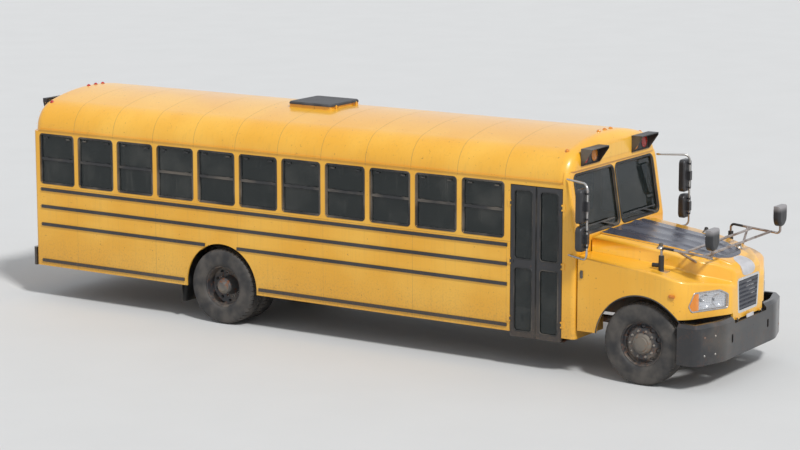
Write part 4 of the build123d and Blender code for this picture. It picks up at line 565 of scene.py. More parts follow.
def piped(middle, half_x, half_z, reach, thickness):
    """A cord carried round one face of a back, which lies across the bus, along a
    superellipse of the eighth power."""
    angle, ring = turns(40), turns(6)
    x = np.sign(np.cos(angle)) * np.abs(np.cos(angle)) ** 0.25 * half_x
    z = np.sign(np.sin(angle)) * np.abs(np.sin(angle)) ** 0.25 * half_z
    length = np.hypot(x, z)
    out = np.stack([x / length, z / length], -1)
    return np.stack([x[:, None] + thickness * np.cos(ring) * out[:, :1] + middle[0],
                     reach + thickness * np.sin(ring) + middle[1] + 0.0 * x[:, None],
                     z[:, None] + thickness * np.cos(ring) * out[:, 1:] + middle[2]], -1)


def vinyl(place):
    """Dark green vinyl: fine leather grain, a worn sheen in patches."""
    grain = place.noise(340.0, 2.0)
    worn_spots = place.noise(6.0, 4.0).step(0.5, 0.8)
    return {"Base Color": worn_spots.between((0.020, 0.055, 0.042, 1), (0.05, 0.095, 0.075, 1)),
            "Roughness": worn_spots * -0.12 + 0.5, "Bump": (grain, 0.35, 0.0008)}


green_vinyl = material("green_vinyl", {"Sheen Weight": 0.1}, vinyl)
seat_black = worn("seat_black", (0.025, 0.025, 0.027, 1), 0.5, rusted=0.1, dusted=0.3)
cushions, backs, seams, legs = [], [], [], []
for row in range(bench_rows):
    row_y = bench_first_y + row * bench_pitch
    narrow = house_inward if abs(row_y - 0.2 - hub_rear_y) < house_half else 0.0
    for side in (-1, 1):
        mid_x = side * (wall_inner - bench_width / 2)
        cushions.append(pad((mid_x - side * narrow / 2, row_y + cushion_y, cushion_z),
                            (cushion_half_x - narrow / 2, cushion_half_y, cushion_half_z),
                            cushion_crown))
        middle, pivot = (mid_x, row_y + back_y, back_z), (0, row_y, back_pivot_z)
        backs.append(tilted(pad(middle, (cushion_half_x, back_half_y, back_half_z), 0.0,
                                back_power), pivot, back_lean))
        seams.append(tilted(piped(middle, seam_half_x, seam_half_z, seam_y, seam_radius), pivot,
                            back_lean))
        # The wheel house takes the place of the outer legs over the rear axle
        for leg_x in (leg_inset,) if narrow else (leg_inset, bench_width - leg_inset):
            legs += [(side * (wall_inner - bench_width + leg_x), row_y + leg_y, floor_z)
                     for leg_y in leg_rows]
cushion_piece = put("bench_cushions", *joined(cushions, along=False), green_vinyl, "chassis",
                    "vinyl", crease=60.0)
back_piece = put("bench_backs", *joined(backs, along=False), green_vinyl, "chassis", "vinyl",
                 crease=60.0)
put("bench_piping", *joined(seams), green_vinyl, "chassis", "vinyl")
leg_turn = turns(8)
post = np.stack([np.stack([leg_radius * np.cos(leg_turn), leg_radius * np.sin(leg_turn),
                           np.full(8, z)], -1) for z in (0.0, leg_height)])
put("bench_legs", *strewn(joined([post], along=False), legs, (0, 0, 1)), seat_black, "chassis",
    "frame_paint")
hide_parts("passenger_seats")

# The side walls: galvanised steel skins riveted to upright bows and sprayed in
# school bus yellow. Four black pressed rub rails run along each side on rivets.

wall_front_y, wall_rear_y = -3.370, 5.230
sill_z, head_z = 1.690, 2.400
window_first_y, window_pitch, window_count = -2.2045, 0.711, 11
rail_levels, rail_stand = (0.560, 1.090, 1.350, 1.600), 0.0137
bow_y = window_first_y + window_pitch * (np.arange(window_count + 1) - 0.5)


def enamel(name, colour, faded, seams, rough=0.30, coat=0.4, film=0.5):
    """Coach enamel: sun-faded in broad clouds, run down by rain in upright streaks
    and dusted from the skirt upwards, with a fine orange peel. seams gives the
    lines where two sheets lap, as marks from 0 to 1."""
    def build(place):
        """Colour, gloss and bump of the coat under its dirt, with its laps."""
        clouds = place.noise(0.9, 4.0).step(0.35, 0.7)
        runs = place.stretched((9.0, 9.0, 0.35)).noise(3.0, 4.0).step(0.5, 0.78)
        foot = 1.0 - place.part("Z").step(0.35, 1.25)
        specks = place.noise(42.0, 5.0).step(0.45, 0.75)
        laps = seams(place)
        veil = foot * (specks * 0.65 + 0.35) * film + runs * 0.10 + laps * 0.55
        chips = (place.noise(16.0, 6.0) * place.noise(55.0, 3.0)).step(0.405, 0.43) * 0.6
        tint = chips.between(clouds.between(colour, faded), rust)
        return {"Base Color": veil.between(tint, dirt_brown),
                "Roughness": veil * 0.35 + clouds * 0.06 + rough,
                "Coat Weight": coat - veil * coat,
                "Bump": (place.noise(220.0, 2.0) * 0.12 - laps, 0.5, 0.002)}
    return material(name, {"Coat Roughness": 0.1, "IOR": 1.5}, build)


bus_yellow, sun_yellow = (0.84, 0.41, 0.022, 1), (0.90, 0.49, 0.055, 1)
dirt_brown = (0.20, 0.13, 0.07, 1)


def no_seams(place):
    """No laps: 0 at every place."""
    return place.part("X") * 0.0


def wall_seams(place):
    """A lap at every second bow of the skirt panels and one above the sill."""
    share = (place.part("Y") - float(bow_y[0])).repeated(2 * window_pitch)
    below = 1.0 - place.part("Z").step(sill_z - 0.08, sill_z - 0.07)
    return (share.line_at(0.0, 0.007) * below).most(place.part("Z").line_at(sill_z - 0.045, 0.006))


wall_yellow = enamel("wall_yellow", bus_yellow, sun_yellow, wall_seams)
plain_yellow = enamel("plain_yellow", bus_yellow, sun_yellow, no_seams)
gloss_black = enamel("gloss_black", (0.014, 0.014, 0.016, 1), (0.03, 0.03, 0.034, 1), no_seams,
                     0.32, 0.3, 0.35)
finish(wall_yellow, "side_wall_left", "side_wall_right")
finish(plain_yellow, "front_wall")
finish(gloss_black, "rub_rails", "door_front_leaf", "door_rear_leaf")

rivet, small_rivet = cap(0.0065, 0.0030, 2, 6), cap(0.0048, 0.0024, 2, 6)
skirt_pitch, stiffener_pitch, rail_pitch = 0.09, 0.355, 0.178


def side_row(side, levels, inset, pitch, stand, gaps):
    """Rivet places along one side at these heights, left out in the gaps."""
    y = np.arange(wall_front_y + inset, wall_rear_y, pitch)
    for low, high in gaps:
        y = y[(y < low) | (y > high)]
    z = np.repeat(np.array(levels), len(y))
    return np.stack([np.full(len(z), side * (body_half + stand)), np.tile(y, len(levels)), z], -1)


def upright_row(x, y, low, high, count):
    """Even places up one line."""
    return np.stack([np.full(count, x), np.full(count, y), np.linspace(low, high, count)], -1)


arch = (hub_rear_y - 0.66, hub_rear_y + 0.66)
doorway = (-3.45, -2.58)
for side, hand, gaps in ((-1, "right", (doorway,)), (1, "left", ())):
    rows = [side_row(side, (0.500,), 0.03, skirt_pitch, 0.0, gaps + (arch,)),
            side_row(side, (sill_z - 0.062, sill_z - 0.028), 0.03, skirt_pitch, 0.0, (doorway,)),
            side_row(side, (0.74, 0.90), 0.03, stiffener_pitch, 0.0, gaps + (arch,))]
    rows += [upright_row(side * body_half, y + shift, sill_z + 0.06, head_z - 0.05, 8)
             for y in bow_y for shift in (-0.026, 0.026)]
    rows += [upright_row(side * body_half, y + 0.018, 0.60, sill_z - 0.12, 9)
             for y in bow_y[::2] if abs(y - hub_rear_y) > 0.62]
    put("wall_rivets_" + hand, *strewn(small_rivet, np.concatenate(rows), (side, 0, 0)),
        plain_yellow, "chassis", "yellow_paint")
    rail_rows = [side_row(side, rail_levels[1:], 0.05, rail_pitch, rail_stand, gaps),
                 side_row(side, rail_levels[:1], 0.05, rail_pitch, rail_stand, gaps + (arch,))]
    put("rail_rivets_" + hand, *strewn(rivet, np.concatenate(rail_rows), (side, 0, 0)),
        gloss_black, "chassis", "black_paint")

# The side windows: split sashes of tinted safety glass in black frames, each half
# with a pair of spring latches. The other windows' glass matches them.


def glazing(tint, cover):
    """Tinted glass that lets the inside be seen, hazed by dust and dried rain
    that has run down it."""
    def build(place):
        """Colour, gloss and cover of the glass under its film."""
        haze = place.noise(2.0, 5.0).step(0.45, 0.8) * 0.10
        runs = place.stretched((14.0, 14.0, 0.8)).noise(3.0, 4.0).step(0.55, 0.8) * 0.08
        film = haze + runs
        return {"Base Color": film.between(tint, (0.32, 0.30, 0.26, 1)),
                "Roughness": film * 0.8 + 0.03, "Alpha": film + cover}
    return build


dark_glass = material("dark_glass", {"IOR": 1.5}, glazing((0.012, 0.017, 0.017, 1), 0.80))
clear_glass = material("clear_glass", {"IOR": 1.5}, glazing((0.012, 0.018, 0.018, 1), 0.62))
sash_black = worn("sash_black", (0.022, 0.022, 0.024, 1), 0.42, rusted=0.0, dusted=0.35)
finish(dark_glass, "window_glass", "emergency_glass", "door_front_glass", "door_rear_glass")
finish(clear_glass, "windshield")
finish(sash_black, "window_frames")


def rounded(half_wide, half_high, radius):
    """A rectangle's outline as columns of two, with quarter-circle corners of six
    points each."""
    turn = np.linspace(0, math.pi / 2, 6)
    arc = np.stack([np.cos(turn), np.sin(turn)], -1) * radius
    corner = np.array([half_wide - radius, half_high - radius])
    quarters = []
    for cosine, sine, signs in ((1, 0, (1, 1)), (0, 1, (-1, 1)), (-1, 0, (-1, -1)),
                                (0, -1, (1, -1))):
        spin = np.array([[cosine, sine], [-sine, cosine]])
        quarters.append(corner * signs + arc @ spin)
    return np.concatenate(quarters)


def carried(path, outline, up, closed=True):
    """A closed outline carried along a path that lies in a plane: its first number
    is measured outwards in that plane, its second along up, the plane's normal."""
    path, outline = np.asarray(path, float), np.asarray(outline, float)
    up = np.asarray(up, float) / np.linalg.norm(up)
    if closed:
        run = np.roll(path, -1, 0) - np.roll(path, 1, 0)
    else:
        run = np.gradient(path, axis=0)
    run /= np.linalg.norm(run, axis=1)[:, None]
    side = np.cross(run, up)
    return (path[:, None] + outline[None, :, :1] * side[:, None]
            + outline[None, :, 1:] * up[None, None])


def bead(radius, sides, flat=1.0):
    """A round outline, pressed flatter by the flat share."""
    turn = turns(sides)
    return np.stack([radius * np.cos(turn), radius * flat * np.sin(turn)], -1)


def beaded(outline, middle, facing, radius, sides, flat=1.0):
    """A bead laid round a flat outline that faces along one of the three axes."""
    level = np.insert(outline, int(np.argmax(np.abs(facing))), 0.0, axis=1)
    return carried(level + middle, bead(radius, sides, flat), facing)


rubber_black = worn("rubber_black", (0.018, 0.018, 0.018, 1), 0.6, rusted=0.0, dusted=0.35)
window_mid_z, window_wide, window_high, window_corner, bead_gap = 2.045, 0.615, 0.710, 0.045, 0.004
latch_x, latch_shift, latch_rises = 1.203, 0.2, (0.016, 0.305)
window_outline = rounded(window_wide / 2 + bead_gap, window_high / 2 + bead_gap, window_corner)
trims, latches = [], []
for side in (-1, 1):
    for k in range(window_count):
        y = window_first_y + k * window_pitch
        trims.append(beaded(window_outline, (side * (body_half + 0.001), y, window_mid_z),
                            (side, 0, 0), 0.007, 6, 0.8))
        latches += [(side * latch_x, y + shift, window_mid_z + rise)
                    for shift in (-latch_shift, latch_shift) for rise in latch_rises]
put("window_trims", *joined(trims), rubber_black, "chassis", "rubber")
box = np.array([(-1, -1, -1), (1, -1, -1), (1, 1, -1), (-1, 1, -1),
                (-1, -1, 1), (1, -1, 1), (1, 1, 1), (-1, 1, 1)], float)
box_faces = np.array([(0, 3, 2, 1), (4, 5, 6, 7), (0, 1, 5, 4), (1, 2, 6, 5), (2, 3, 7, 6),
                      (3, 0, 4, 7)])
bar = box * (0.03, 0.008, 0.006) + (0, 0, 0.006)
latch_facing = [(np.sign(x), 0, 0) for x, _, _ in latches]
put("window_latches", *strewn((bar, box_faces), latches, latch_facing), sash_black, "chassis",
    "black_paint")

# The roof: steel sheets lapped over a riveted bow at each window post, a moulded
# cap at each end, a drip rail over the windows and a hatch of black plastic.

roof_top_z, shoulder_z, shoulder_radius = 2.985, 2.456, 0.420
shoulder_x, arch_rise = body_half - shoulder_radius, roof_top_z - shoulder_z
crown_radius = (shoulder_x ** 2 + arch_rise ** 2 - shoulder_radius ** 2) / (
    2 * (arch_rise - shoulder_radius))
crown_z = roof_top_z - crown_radius
crown_turn = math.atan2(shoulder_x, shoulder_z - crown_z)


def roof_seams(place):
    """A lap at each bow between the end caps."""
    return (place.part("Y") - float(bow_y[0])).repeated(window_pitch).line_at(0.03, 0.007)


finish(enamel("roof_yellow", bus_yellow, sun_yellow, roof_seams, film=0.3), "roof")
finish(plain_yellow, "roof_caps")


def roof_arc(spacing):
    """Places across the roof an even distance apart and their normals, in x and z:
    a wide crown arc between two tighter shoulder arcs."""
    half = crown_radius * crown_turn + shoulder_radius * (math.pi / 2 - crown_turn)
    run = np.linspace(-half, half, int(2 * half / spacing))
    way = np.abs(run)
    on_crown = way <= crown_radius * crown_turn
    turn = np.where(on_crown, way / crown_radius,
                    crown_turn + (way - crown_radius * crown_turn) / shoulder_radius)
    side = np.sign(run)
    x = np.where(on_crown, crown_radius * np.sin(turn),
                 shoulder_x + shoulder_radius * np.sin(turn)) * side
    z = np.where(on_crown, crown_z + crown_radius * np.cos(turn),
                 shoulder_z + shoulder_radius * np.cos(turn))
    return x, z, np.sin(turn) * side, np.cos(turn)


cap_rows, hatch_start_y, hatch_end_y = [-2.905, -2.965, 4.885, 4.955], 0.70, 1.50
roof_pitch, lap_half = 0.085, 0.022
arc_x, arc_z, arc_nx, arc_nz = roof_arc(roof_pitch)
roof_rows = [bow + shift for bow in bow_y[1:] for shift in (-lap_half, lap_half)] + cap_rows
roof_rows = [row for row in roof_rows if not hatch_start_y < row < hatch_end_y]
roof_places = np.concatenate([np.stack([arc_x, np.full(len(arc_x), row), arc_z], -1)
                              for row in roof_rows])
roof_normals = np.tile(np.stack([arc_nx, 0 * arc_nx, arc_nz], -1), (len(roof_rows), 1))
put("roof_rivets", *strewn(small_rivet, roof_places, roof_normals), plain_yellow, "chassis",
    "yellow_paint")

gutter = np.array([(-0.003, 0.0), (0.015, 0.001), (0.017, 0.012), (0.0145, 0.0125),
                   (0.012, 0.005), (-0.003, 0.008)])
gutter_z, gutter_front_y, gutter_rear_y = 2.462, -3.36, 5.22
gutters = [carried(np.linspace((side * body_half, gutter_front_y, gutter_z),
                               (side * body_half, gutter_rear_y, gutter_z), 13)[::side],
                   gutter, (0, 0, 1), closed=False) for side in (-1, 1)]
put("drip_rails", *joined(gutters, along=False), plain_yellow, "chassis", "yellow_paint",
    crease=30.0)


def hatch_skin(place):
    """Black moulded plastic with ribs round the lid, greyed by the sun."""
    fade = place.noise(5.0, 4.0).step(0.35, 0.7)
    rib = place.part("X").size().line_at(0.24, 0.02)
    return {"Base Color": fade.between((0.03, 0.03, 0.032, 1), (0.07, 0.07, 0.073, 1)),
            "Roughness": fade * 0.15 + 0.5,
            "Bump": (rib + place.noise(200.0, 2.0) * 0.1, 0.6, 0.004)}


finish(material("hatch_plastic", {}, hatch_skin), "roof_hatch")


def lens(name, dark, bright, glow):
    """Ribbed plastic over a bright reflector: paler where the ribs catch light."""
    def build(place):
        """Colour, gloss, glow and bump of the facets where two sets of ribs cross."""
        facet = place.part("X").ridges(0.017) * place.part("Z").ridges(0.017)
        return {"Base Color": facet.between(dark, bright),
                "Roughness": facet * 0.05 + 0.12,
                "Emission Color": facet.between((0, 0, 0, 1), glow),
                "Bump": (facet, 0.6, 0.004)}
    return material(name, {"Coat Weight": 0.6, "Coat Roughness": 0.04,
                           "Emission Strength": 0.25}, build)


# Clearance lamps: small domes, amber ahead and red behind, on both end caps
red_lens = lens("red_lens", (0.34, 0.006, 0.004, 1), (0.66, 0.03, 0.012, 1), (0.3, 0.01, 0.0, 1))
amber_lens = lens("amber_lens", (0.58, 0.17, 0.002, 1), (0.85, 0.34, 0.01, 1),
                  (0.4, 0.12, 0.0, 1))
clear_lens = lens("clear_lens", (0.42, 0.43, 0.44, 1), (0.8, 0.8, 0.78, 1), (0.1, 0.1, 0.1, 1))


def on_arc(x, y):
    """The roof's place and normal above this x."""
    turn = math.asin(x / crown_radius) if abs(x) < shoulder_x else math.copysign(
        math.asin(min(1.0, (abs(x) - shoulder_x) / shoulder_radius)), x)
    if abs(x) < shoulder_x:
        z = crown_z + crown_radius * math.cos(turn)
    else:
        z = shoulder_z + shoulder_radius * math.cos(turn)
    return (x, y, z - 0.001), (math.sin(turn), 0.0, math.cos(turn))


marker, marker_x = cap(0.032, 0.026, 5, 16), (-0.98, -0.16, 0.0, 0.16, 0.98)
for name, look, cap_y in (("front_markers", amber_lens, -3.29), ("rear_markers", red_lens, 5.18)):
    places, normals = zip(*(on_arc(x, cap_y) for x in marker_x))
    put(name, *strewn(marker, places, normals), look, "chassis", "lens")

# The windshield: two flat laminated panes set in black rubber each side of a post,
# swept by two wipers of black enamelled steel that are parked along the foot.

finish(sash_black, "wipers")
screen_foot_y, screen_foot_z, screen_run, screen_rise = -3.563, 1.760, 0.140, 0.840
screen_rake = math.atan2(screen_run, screen_rise)
screen_normal = (0.0, -math.cos(screen_rake), math.sin(screen_rake))
pane_half_x, pane_half_z, pane_x, pane_z = 0.515, 0.370, 0.545, 2.170


def on_screen(flat, middle_x, middle_z):
    """An outline drawn in x and z, laid on the raked face of the front wall."""
    x, z = middle_x + flat[:, 0], middle_z + flat[:, 1]
    rise = (z - screen_foot_z) * screen_run / screen_rise
    return np.stack([x, screen_foot_y + rise, z], -1)


for name, wider, corner, inward, section in (
        ("screen_rubber", 0.006, 0.076, 0.0, bead(0.016, 8, 0.5)),
        ("screen_inner_rubber", -0.008, 0.062, 0.016, bead(0.010, 6, 0.6))):
    outline = rounded(pane_half_x + wider, pane_half_z + wider, corner)
    put(name, *joined([carried(on_screen(outline, side * pane_x, pane_z) + (0, inward, 0), section,
                               screen_normal) for side in (-1, 1)]),
        rubber_black, "chassis", "rubber")

# The driver's place: a seat of foam in black vinyl on a boxed steel foot, with a
# moulded dashboard and a steering wheel of grained plastic.

driver_x, driver_y, driver_lean = 0.640, -2.610, math.radians(7.0)
seat_middle, seat_halves = (driver_x, driver_y - 0.235, floor_z + 0.345), (0.247, 0.232, 0.058)
rest_middle, rest_halves = (driver_x, driver_y + 0.045, floor_z + 0.69), (0.235, 0.045, 0.385)
foot_middle, foot_halves = (driver_x, driver_y - 0.20, floor_z + 0.143), (0.165, 0.165, 0.142)
rest_pivot, foot_power = (0, driver_y, floor_z + 0.32), 12.0


def moulded(name, colour, rough):
    """Grained interior plastic."""
    return material(name, {}, lambda place: {
        "Base Color": place.noise(9.0, 4.0).between(
            colour, tuple(1.6 * part + 0.01 for part in colour[:3]) + (1,)),
        "Roughness": place.noise(20.0, 2.0) * 0.1 + rough,
        "Bump": (place.noise(420.0, 2.0), 0.4, 0.0008)})


cab_plastic = moulded("cab_plastic", (0.035, 0.036, 0.04, 1), 0.5)
finish(cab_plastic, "dashboard", "steering_wheel")


def seat_cloth(place):
    """Black vinyl with sewn channels across the seat."""
    channel = place.part("X").ridges(0.09).step(0.02, 0.25)
    return {"Base Color": place.noise(12.0, 3.0).between((0.022, 0.022, 0.024, 1),
                                                         (0.05, 0.05, 0.052, 1)),
            "Roughness": channel * -0.06 + 0.52,
            "Bump": (channel + place.noise(320.0, 2.0) * 0.15, 0.7, 0.006)}


black_vinyl = material("black_vinyl", {"Sheen Weight": 0.1}, seat_cloth)
seat_pad = pad(seat_middle, seat_halves, cushion_crown)
back_pad = tilted(pad(rest_middle, rest_halves, 0.0), rest_pivot, driver_lean)
driver_pads = put("driver_cushions", *joined([seat_pad, back_pad], along=False), black_vinyl,
                  "chassis", "vinyl", crease=60.0)
foot_box = pad(foot_middle, foot_halves, 0.0, foot_power)
put("driver_seat_foot", *joined([foot_box], along=False), seat_black, "chassis", "black_paint")
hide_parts("driver_seat")

# The warning lamps: four face each way, red outside and amber inside, each with a
# fluted plastic lens in a rubber ring under a long black visor. The signs are bare.

finish(worn("visor_black", (0.016, 0.016, 0.018, 1), 0.45, rusted=0.1, dusted=0.35),
       "lamp_visors")


def fluted(middle, radius, depth, toward):
    """A lens of two parameters, out and round: it falls off with the distance out
    to the power 2.2, and twenty flutes ripple round it, stilled towards its edge."""
    out = np.linspace(0, 1, 15)[:, None]
    turn = turns(60)
    rise = depth * (1 - out ** 2.2) + 0.0016 * np.cos(20 * turn) * out * (1 - out ** 6)
    return np.stack([middle[0] + radius * out * np.cos(turn),
                     middle[1] + toward * rise,
                     middle[2] + radius * out * np.sin(turn)], -1)


warning_z, lamp_radius, red_x, amber_x, plate_x = 2.750, 0.086, 0.800, 0.560, 0.680
lens_depth, ring_gap, ring_thick = 0.022, 0.003, 0.008
plate_half_x, plate_half_z, plate_rise = 0.226, 0.100, 0.006
sign_half_x, sign_half_z = 0.400, 0.085
both_ends = ((-3.452, -1), (5.342, 1))
warning_pairs = (("warning_red", red_x, red_lens), ("warning_amber", amber_x, amber_lens))
lamps = [put(name, *joined([fluted((side * x, y, warning_z), lamp_radius, lens_depth, toward)
                            for y, toward in both_ends for side in (-1, 1)], along=False),
             look, "chassis", "lens") for name, x, look in warning_pairs]
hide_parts("warning_lamps")
rings = [beaded(bead(lamp_radius + ring_gap, 40), (side * x, y, warning_z), (0, toward, 0),
                ring_thick, 8, 0.8)
         for y, toward in both_ends for side in (-1, 1) for x in (amber_x, red_x)]
put("warning_rings", *joined(rings), rubber_black, "chassis", "rubber")


def ringed(flat, share, lift, middle, toward):
    """An outline repeated at these shares of its size about the middle, each ring
    with its own lift, so that it closes to a sheet that faces along the bus."""
    share, lift = share[:, None], lift[:, None]
    return np.stack([middle[0] + share * flat[None, :, 0],
                     middle[1] + toward * lift + 0.0 * flat[None, :, 0],
                     middle[2] + share * flat[None, :, 1]], -1)


def panel(half_wide, half_high, radius, middle, toward, thick):
    """A flat plate with rounded corners, filled by rings of its outline: two up its
    wall, two flat ones near its edge and one drawn in to its middle."""
    return ringed(rounded(half_wide, half_high, radius), np.array([1.0, 1.0, 0.985, 0.97, 0.0]),
                  thick * np.array([0.0, 0.7, 1.0, 1.0, 1.0]), middle, toward)


plates = [panel(plate_half_x, plate_half_z, 0.01, (side * plate_x, y, warning_z + plate_rise),
                toward, 0.0015) for y, toward in both_ends for side in (-1, 1)]
put("warning_backplates", *joined(plates, along=False), sash_black, "chassis", "black_paint",
    crease=20.0)
signs = [panel(sign_half_x, sign_half_z, 0.02, (0, y, warning_z), toward, 0.0025)
         for y, toward in both_ends]
put("bare_signs", *joined(signs, along=False),
    enamel("sign_yellow", (0.86, 0.45, 0.03, 1), (0.90, 0.52, 0.08, 1), no_seams, film=0.2),
    "chassis", "yellow_paint", crease=20.0)

# The entrance door: two black framed leaves of steel with long panes in rubber,
# which swing outwards, and a pair of soft seals where their free edges meet.

leaf_mid_z, leaf_foot_z, leaf_head_z, pane_half, pane_corner = 1.400, 0.45, 2.36, 0.129, 0.043
# Each pane's height over the leaf's middle, and how high it is
pane_rows = ((0.480, 0.880), (-0.490, 0.820))
for name, mid_y, edge_y in (("front", -3.178, -2.9975), ("rear", -2.802, -2.9825)):
    pane_beads = [beaded(rounded(pane_half + 0.003, high / 2 + 0.003, pane_corner),
                         (-body_half, mid_y, leaf_mid_z + rise), (1, 0, 0), 0.008, 6, 0.7)
                  for rise, high in pane_rows]
    put("door_beads_" + name, *joined(pane_beads), rubber_black, "door_" + name, "rubber")
    strip = upright_row(-body_half, edge_y, leaf_foot_z, leaf_head_z, 9)
    put("door_seal_" + name, *joined([carried(strip, bead(0.0045, 8, 1.6), (1, 0, 0),
                                              closed=False)], along=False),
        rubber_black, "door_" + name, "rubber")

# The tail: a riveted steel wall with an emergency door on outside hinges, a window
# each side and round lamps of plastic over a pressed steel bumper.

rear_face_y = 5.340
finish(plain_yellow, "rear_wall")


def exit_finish(place):
    """Yellow enamel, with the handle and hinges that stand off it in black."""
    proud = place.part("Y").step(rear_face_y + 0.001, rear_face_y + 0.002)
    streak = place.stretched((9.0, 9.0, 0.5)).noise(3.0, 4.0).step(0.5, 0.8) * 0.15
    tint = streak.between(bus_yellow, dirt_brown)
    return {"Base Color": proud.between(tint, (0.03, 0.03, 0.032, 1)),
            "Roughness": streak + proud * 0.1 + 0.3,
            "Bump": (place.noise(220.0, 2.0), 0.06, 0.002)}


finish(material("exit_enamel", {"Coat Weight": 0.35, "Coat Roughness": 0.1}, exit_finish),
       "emergency_door")
finish(gloss_black, "rear_bumper")
finish(rubber_black, "mud_flaps")
# Each pair of lamps: name, lens, x, z, the lens's radius and its ring's
tail_pairs = (("tail_red", red_lens, 1.000, 1.480, 0.087, 0.090),
              ("tail_amber", amber_lens, 0.780, 1.480, 0.087, 0.090),
              ("tail_clear", clear_lens, 0.780, 1.230, 0.048, 0.052),
              ("tail_small_red", red_lens, 1.000, 1.230, 0.048, 0.052))
tail_rings = [beaded(bead(ring, 40), (side * x, rear_face_y, z), (0, 1, 0), ring_thick, 8, 0.8)
              for side in (-1, 1) for _, _, x, z, _, ring in tail_pairs]
put("tail_rings", *joined(tail_rings), rubber_black, "chassis", "rubber")
lamps = [put(name, *joined([fluted((side * x, rear_face_y, z), radius, lens_depth, 1)
                            for side in (-1, 1)], along=False), look, "chassis", "lens")
         for name, look, x, z, radius, _ in tail_pairs]
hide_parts("tail_lamps")
for name, body, x, z, half_wide, half_high in (
        ("rear_window_beads_1", "chassis", -0.810, window_mid_z, 0.210, 0.325),
        ("rear_window_beads_2", "chassis", 0.810, window_mid_z, 0.210, 0.325),
        ("exit_beads_1", "rear_exit", 0.0, 2.040, 0.342, 0.280),
        ("exit_beads_2", "rear_exit", 0.0, 1.400, 0.342, 0.200)):
    put(name, *joined([beaded(rounded(half_wide + bead_gap, half_high + bead_gap, window_corner),
                              (x, rear_face_y, z), (0, 1, 0), 0.009, 8, 0.7)]),
        rubber_black, body, "rubber")
exit_half, exit_foot_z, rear_half, rear_levels = 0.46, 1.0, 1.14, (0.52, 0.98, 2.445)
post_x, post_foot_z, post_head_z = (-0.535, -0.475, 0.475, 0.535, -1.12, 1.12), 1.05, 2.38
rear_spots = np.concatenate([np.linspace((-rear_half, rear_face_y, z),
                                         (rear_half, rear_face_y, z), 25) for z in rear_levels])
beside_exit = np.abs(rear_spots[:, 0]) > exit_half
rear_spots = rear_spots[beside_exit | (rear_spots[:, 2] < exit_foot_z)]
uprights = [upright_row(x, rear_face_y, post_foot_z, post_head_z, 15) for x in post_x]
put("rear_rivets", *strewn(small_rivet, np.vstack([rear_spots, *uprights]), (0, 1, 0)),
    plain_yellow, "chassis", "yellow_paint")

# The stop arm: a folding eight-sided plate of enamelled steel, red within a white
# border and bare of words, with a red lamp at its top and foot.

stop_y, stop_z, stop_half, stop_face_x = -2.9615, 1.475, 0.2285, 1.2612


def stop_face(place):
    """Distance out to the nearest of eight sides: a white border, then red."""
    y, z = (place.part("Y") - stop_y).size(), (place.part("Z") - stop_z).size()
    out = y.most(z).most((y + z) * math.sqrt(0.5))
    border = out.step(stop_half - 0.0205, stop_half - 0.019) * (
        1.0 - out.step(stop_half - 0.006, stop_half - 0.0045))
    wear = place.noise(30.0, 4.0).step(0.5, 0.8) * 0.25
    red = wear.between((0.48, 0.012, 0.010, 1), (0.40, 0.06, 0.045, 1))
    return {"Base Color": border.between(red, (0.72, 0.70, 0.66, 1)),
            "Roughness": wear + 0.3, "Bump": (place.noise(300.0, 2.0), 0.1, 0.0005)}


finish(material("stop_enamel", {"Coat Weight": 0.3}, stop_face), "stop_arm")
finish(frame_black, "stop_bracket")
for tag, rise in (("lower", -0.155), ("upper", 0.155)):
    middle = (stop_face_x, stop_y, stop_z + rise)
    put("stop_ring_" + tag, *joined([beaded(bead(0.043, 32), middle, (1, 0, 0), 0.006, 8, 0.8)]),
        rubber_black, "stop_sign_arm", "rubber")
    put("stop_lamp_" + tag, *strewn(cap(0.042, 0.020, 6, 24), middle, (1, 0, 0)), red_lens,
        "stop_sign_arm", "lens")

# The rear-view mirrors: each front corner carries a bent steel loop with a tall
# flat mirror over a rounder one, in black plastic housings clamped to the tube.

mirror_plastic = moulded("mirror_plastic", (0.018, 0.018, 0.02, 1), 0.32)
bright_steel = worn("bright_steel", (0.56, 0.55, 0.53, 1), 0.25, 0.9, rusted=0.35, dusted=0.2)
finish(mirror_plastic, "mirror_heads")
finish(bright_steel, "mirror_arms")
mirror_glass = material("mirror_glass", {"Metallic": 1.0}, lambda place: {
    "Base Color": place.noise(3.0, 4.0).between((0.62, 0.64, 0.66, 1), (0.74, 0.75, 0.76, 1)),
    "Roughness": place.noise(40.0, 4.0).step(0.5, 0.8) * 0.10 + 0.03})


def bulged(flat, middle, bulge, toward):
    """An outline filled by rings drawn in to its middle, raised by bulge times one
    less the square of the distance out. It faces along the bus."""
    share = np.linspace(1.0, 0.0, 9)
    return ringed(flat, share, bulge * (1 - share ** 2), middle, toward)


arm_x, arm_y, arm_radius, glass_y, glass_half = 1.409, -3.820, 0.015, -3.7165, 0.101
# Each mirror's half height, corner, height over the ground and bulge
mirror_rows = ((0.200, 0.040, 2.240, 0.002), (0.145, 0.055, 1.830, 0.022))
glasses, rims = [], []
for side in (-1, 1):
    for half_high, radius, z, bulge in mirror_rows:
        flat, middle = rounded(glass_half, half_high, radius), (side * arm_x, glass_y, z)
        glasses.append(bulged(flat, middle, bulge, 1))
        rims.append(beaded(flat, middle, (0, 1, 0), 0.006, 6))
put("mirror_panes", *joined(glasses, along=False), mirror_glass, "chassis", "chrome")
put("mirror_rims", *joined(rims), mirror_plastic, "chassis", "plastic")
collars = [beaded(bead(arm_radius, 24), (side * arm_x, arm_y, z), (0, 0, 1), 0.007, 6, 2.0)
           for side in (-1, 1) for z in (2.40, 2.08, 1.93, 1.73)]
put("mirror_collars", *joined(collars), mirror_plastic, "chassis", "plastic")

# The hood: one shell of fenders and nose, moulded of glass fibre and hinged at the
# foot of the nose. The mould leaves every outer edge rounded, and the top panel is
# painted satin blue-black.

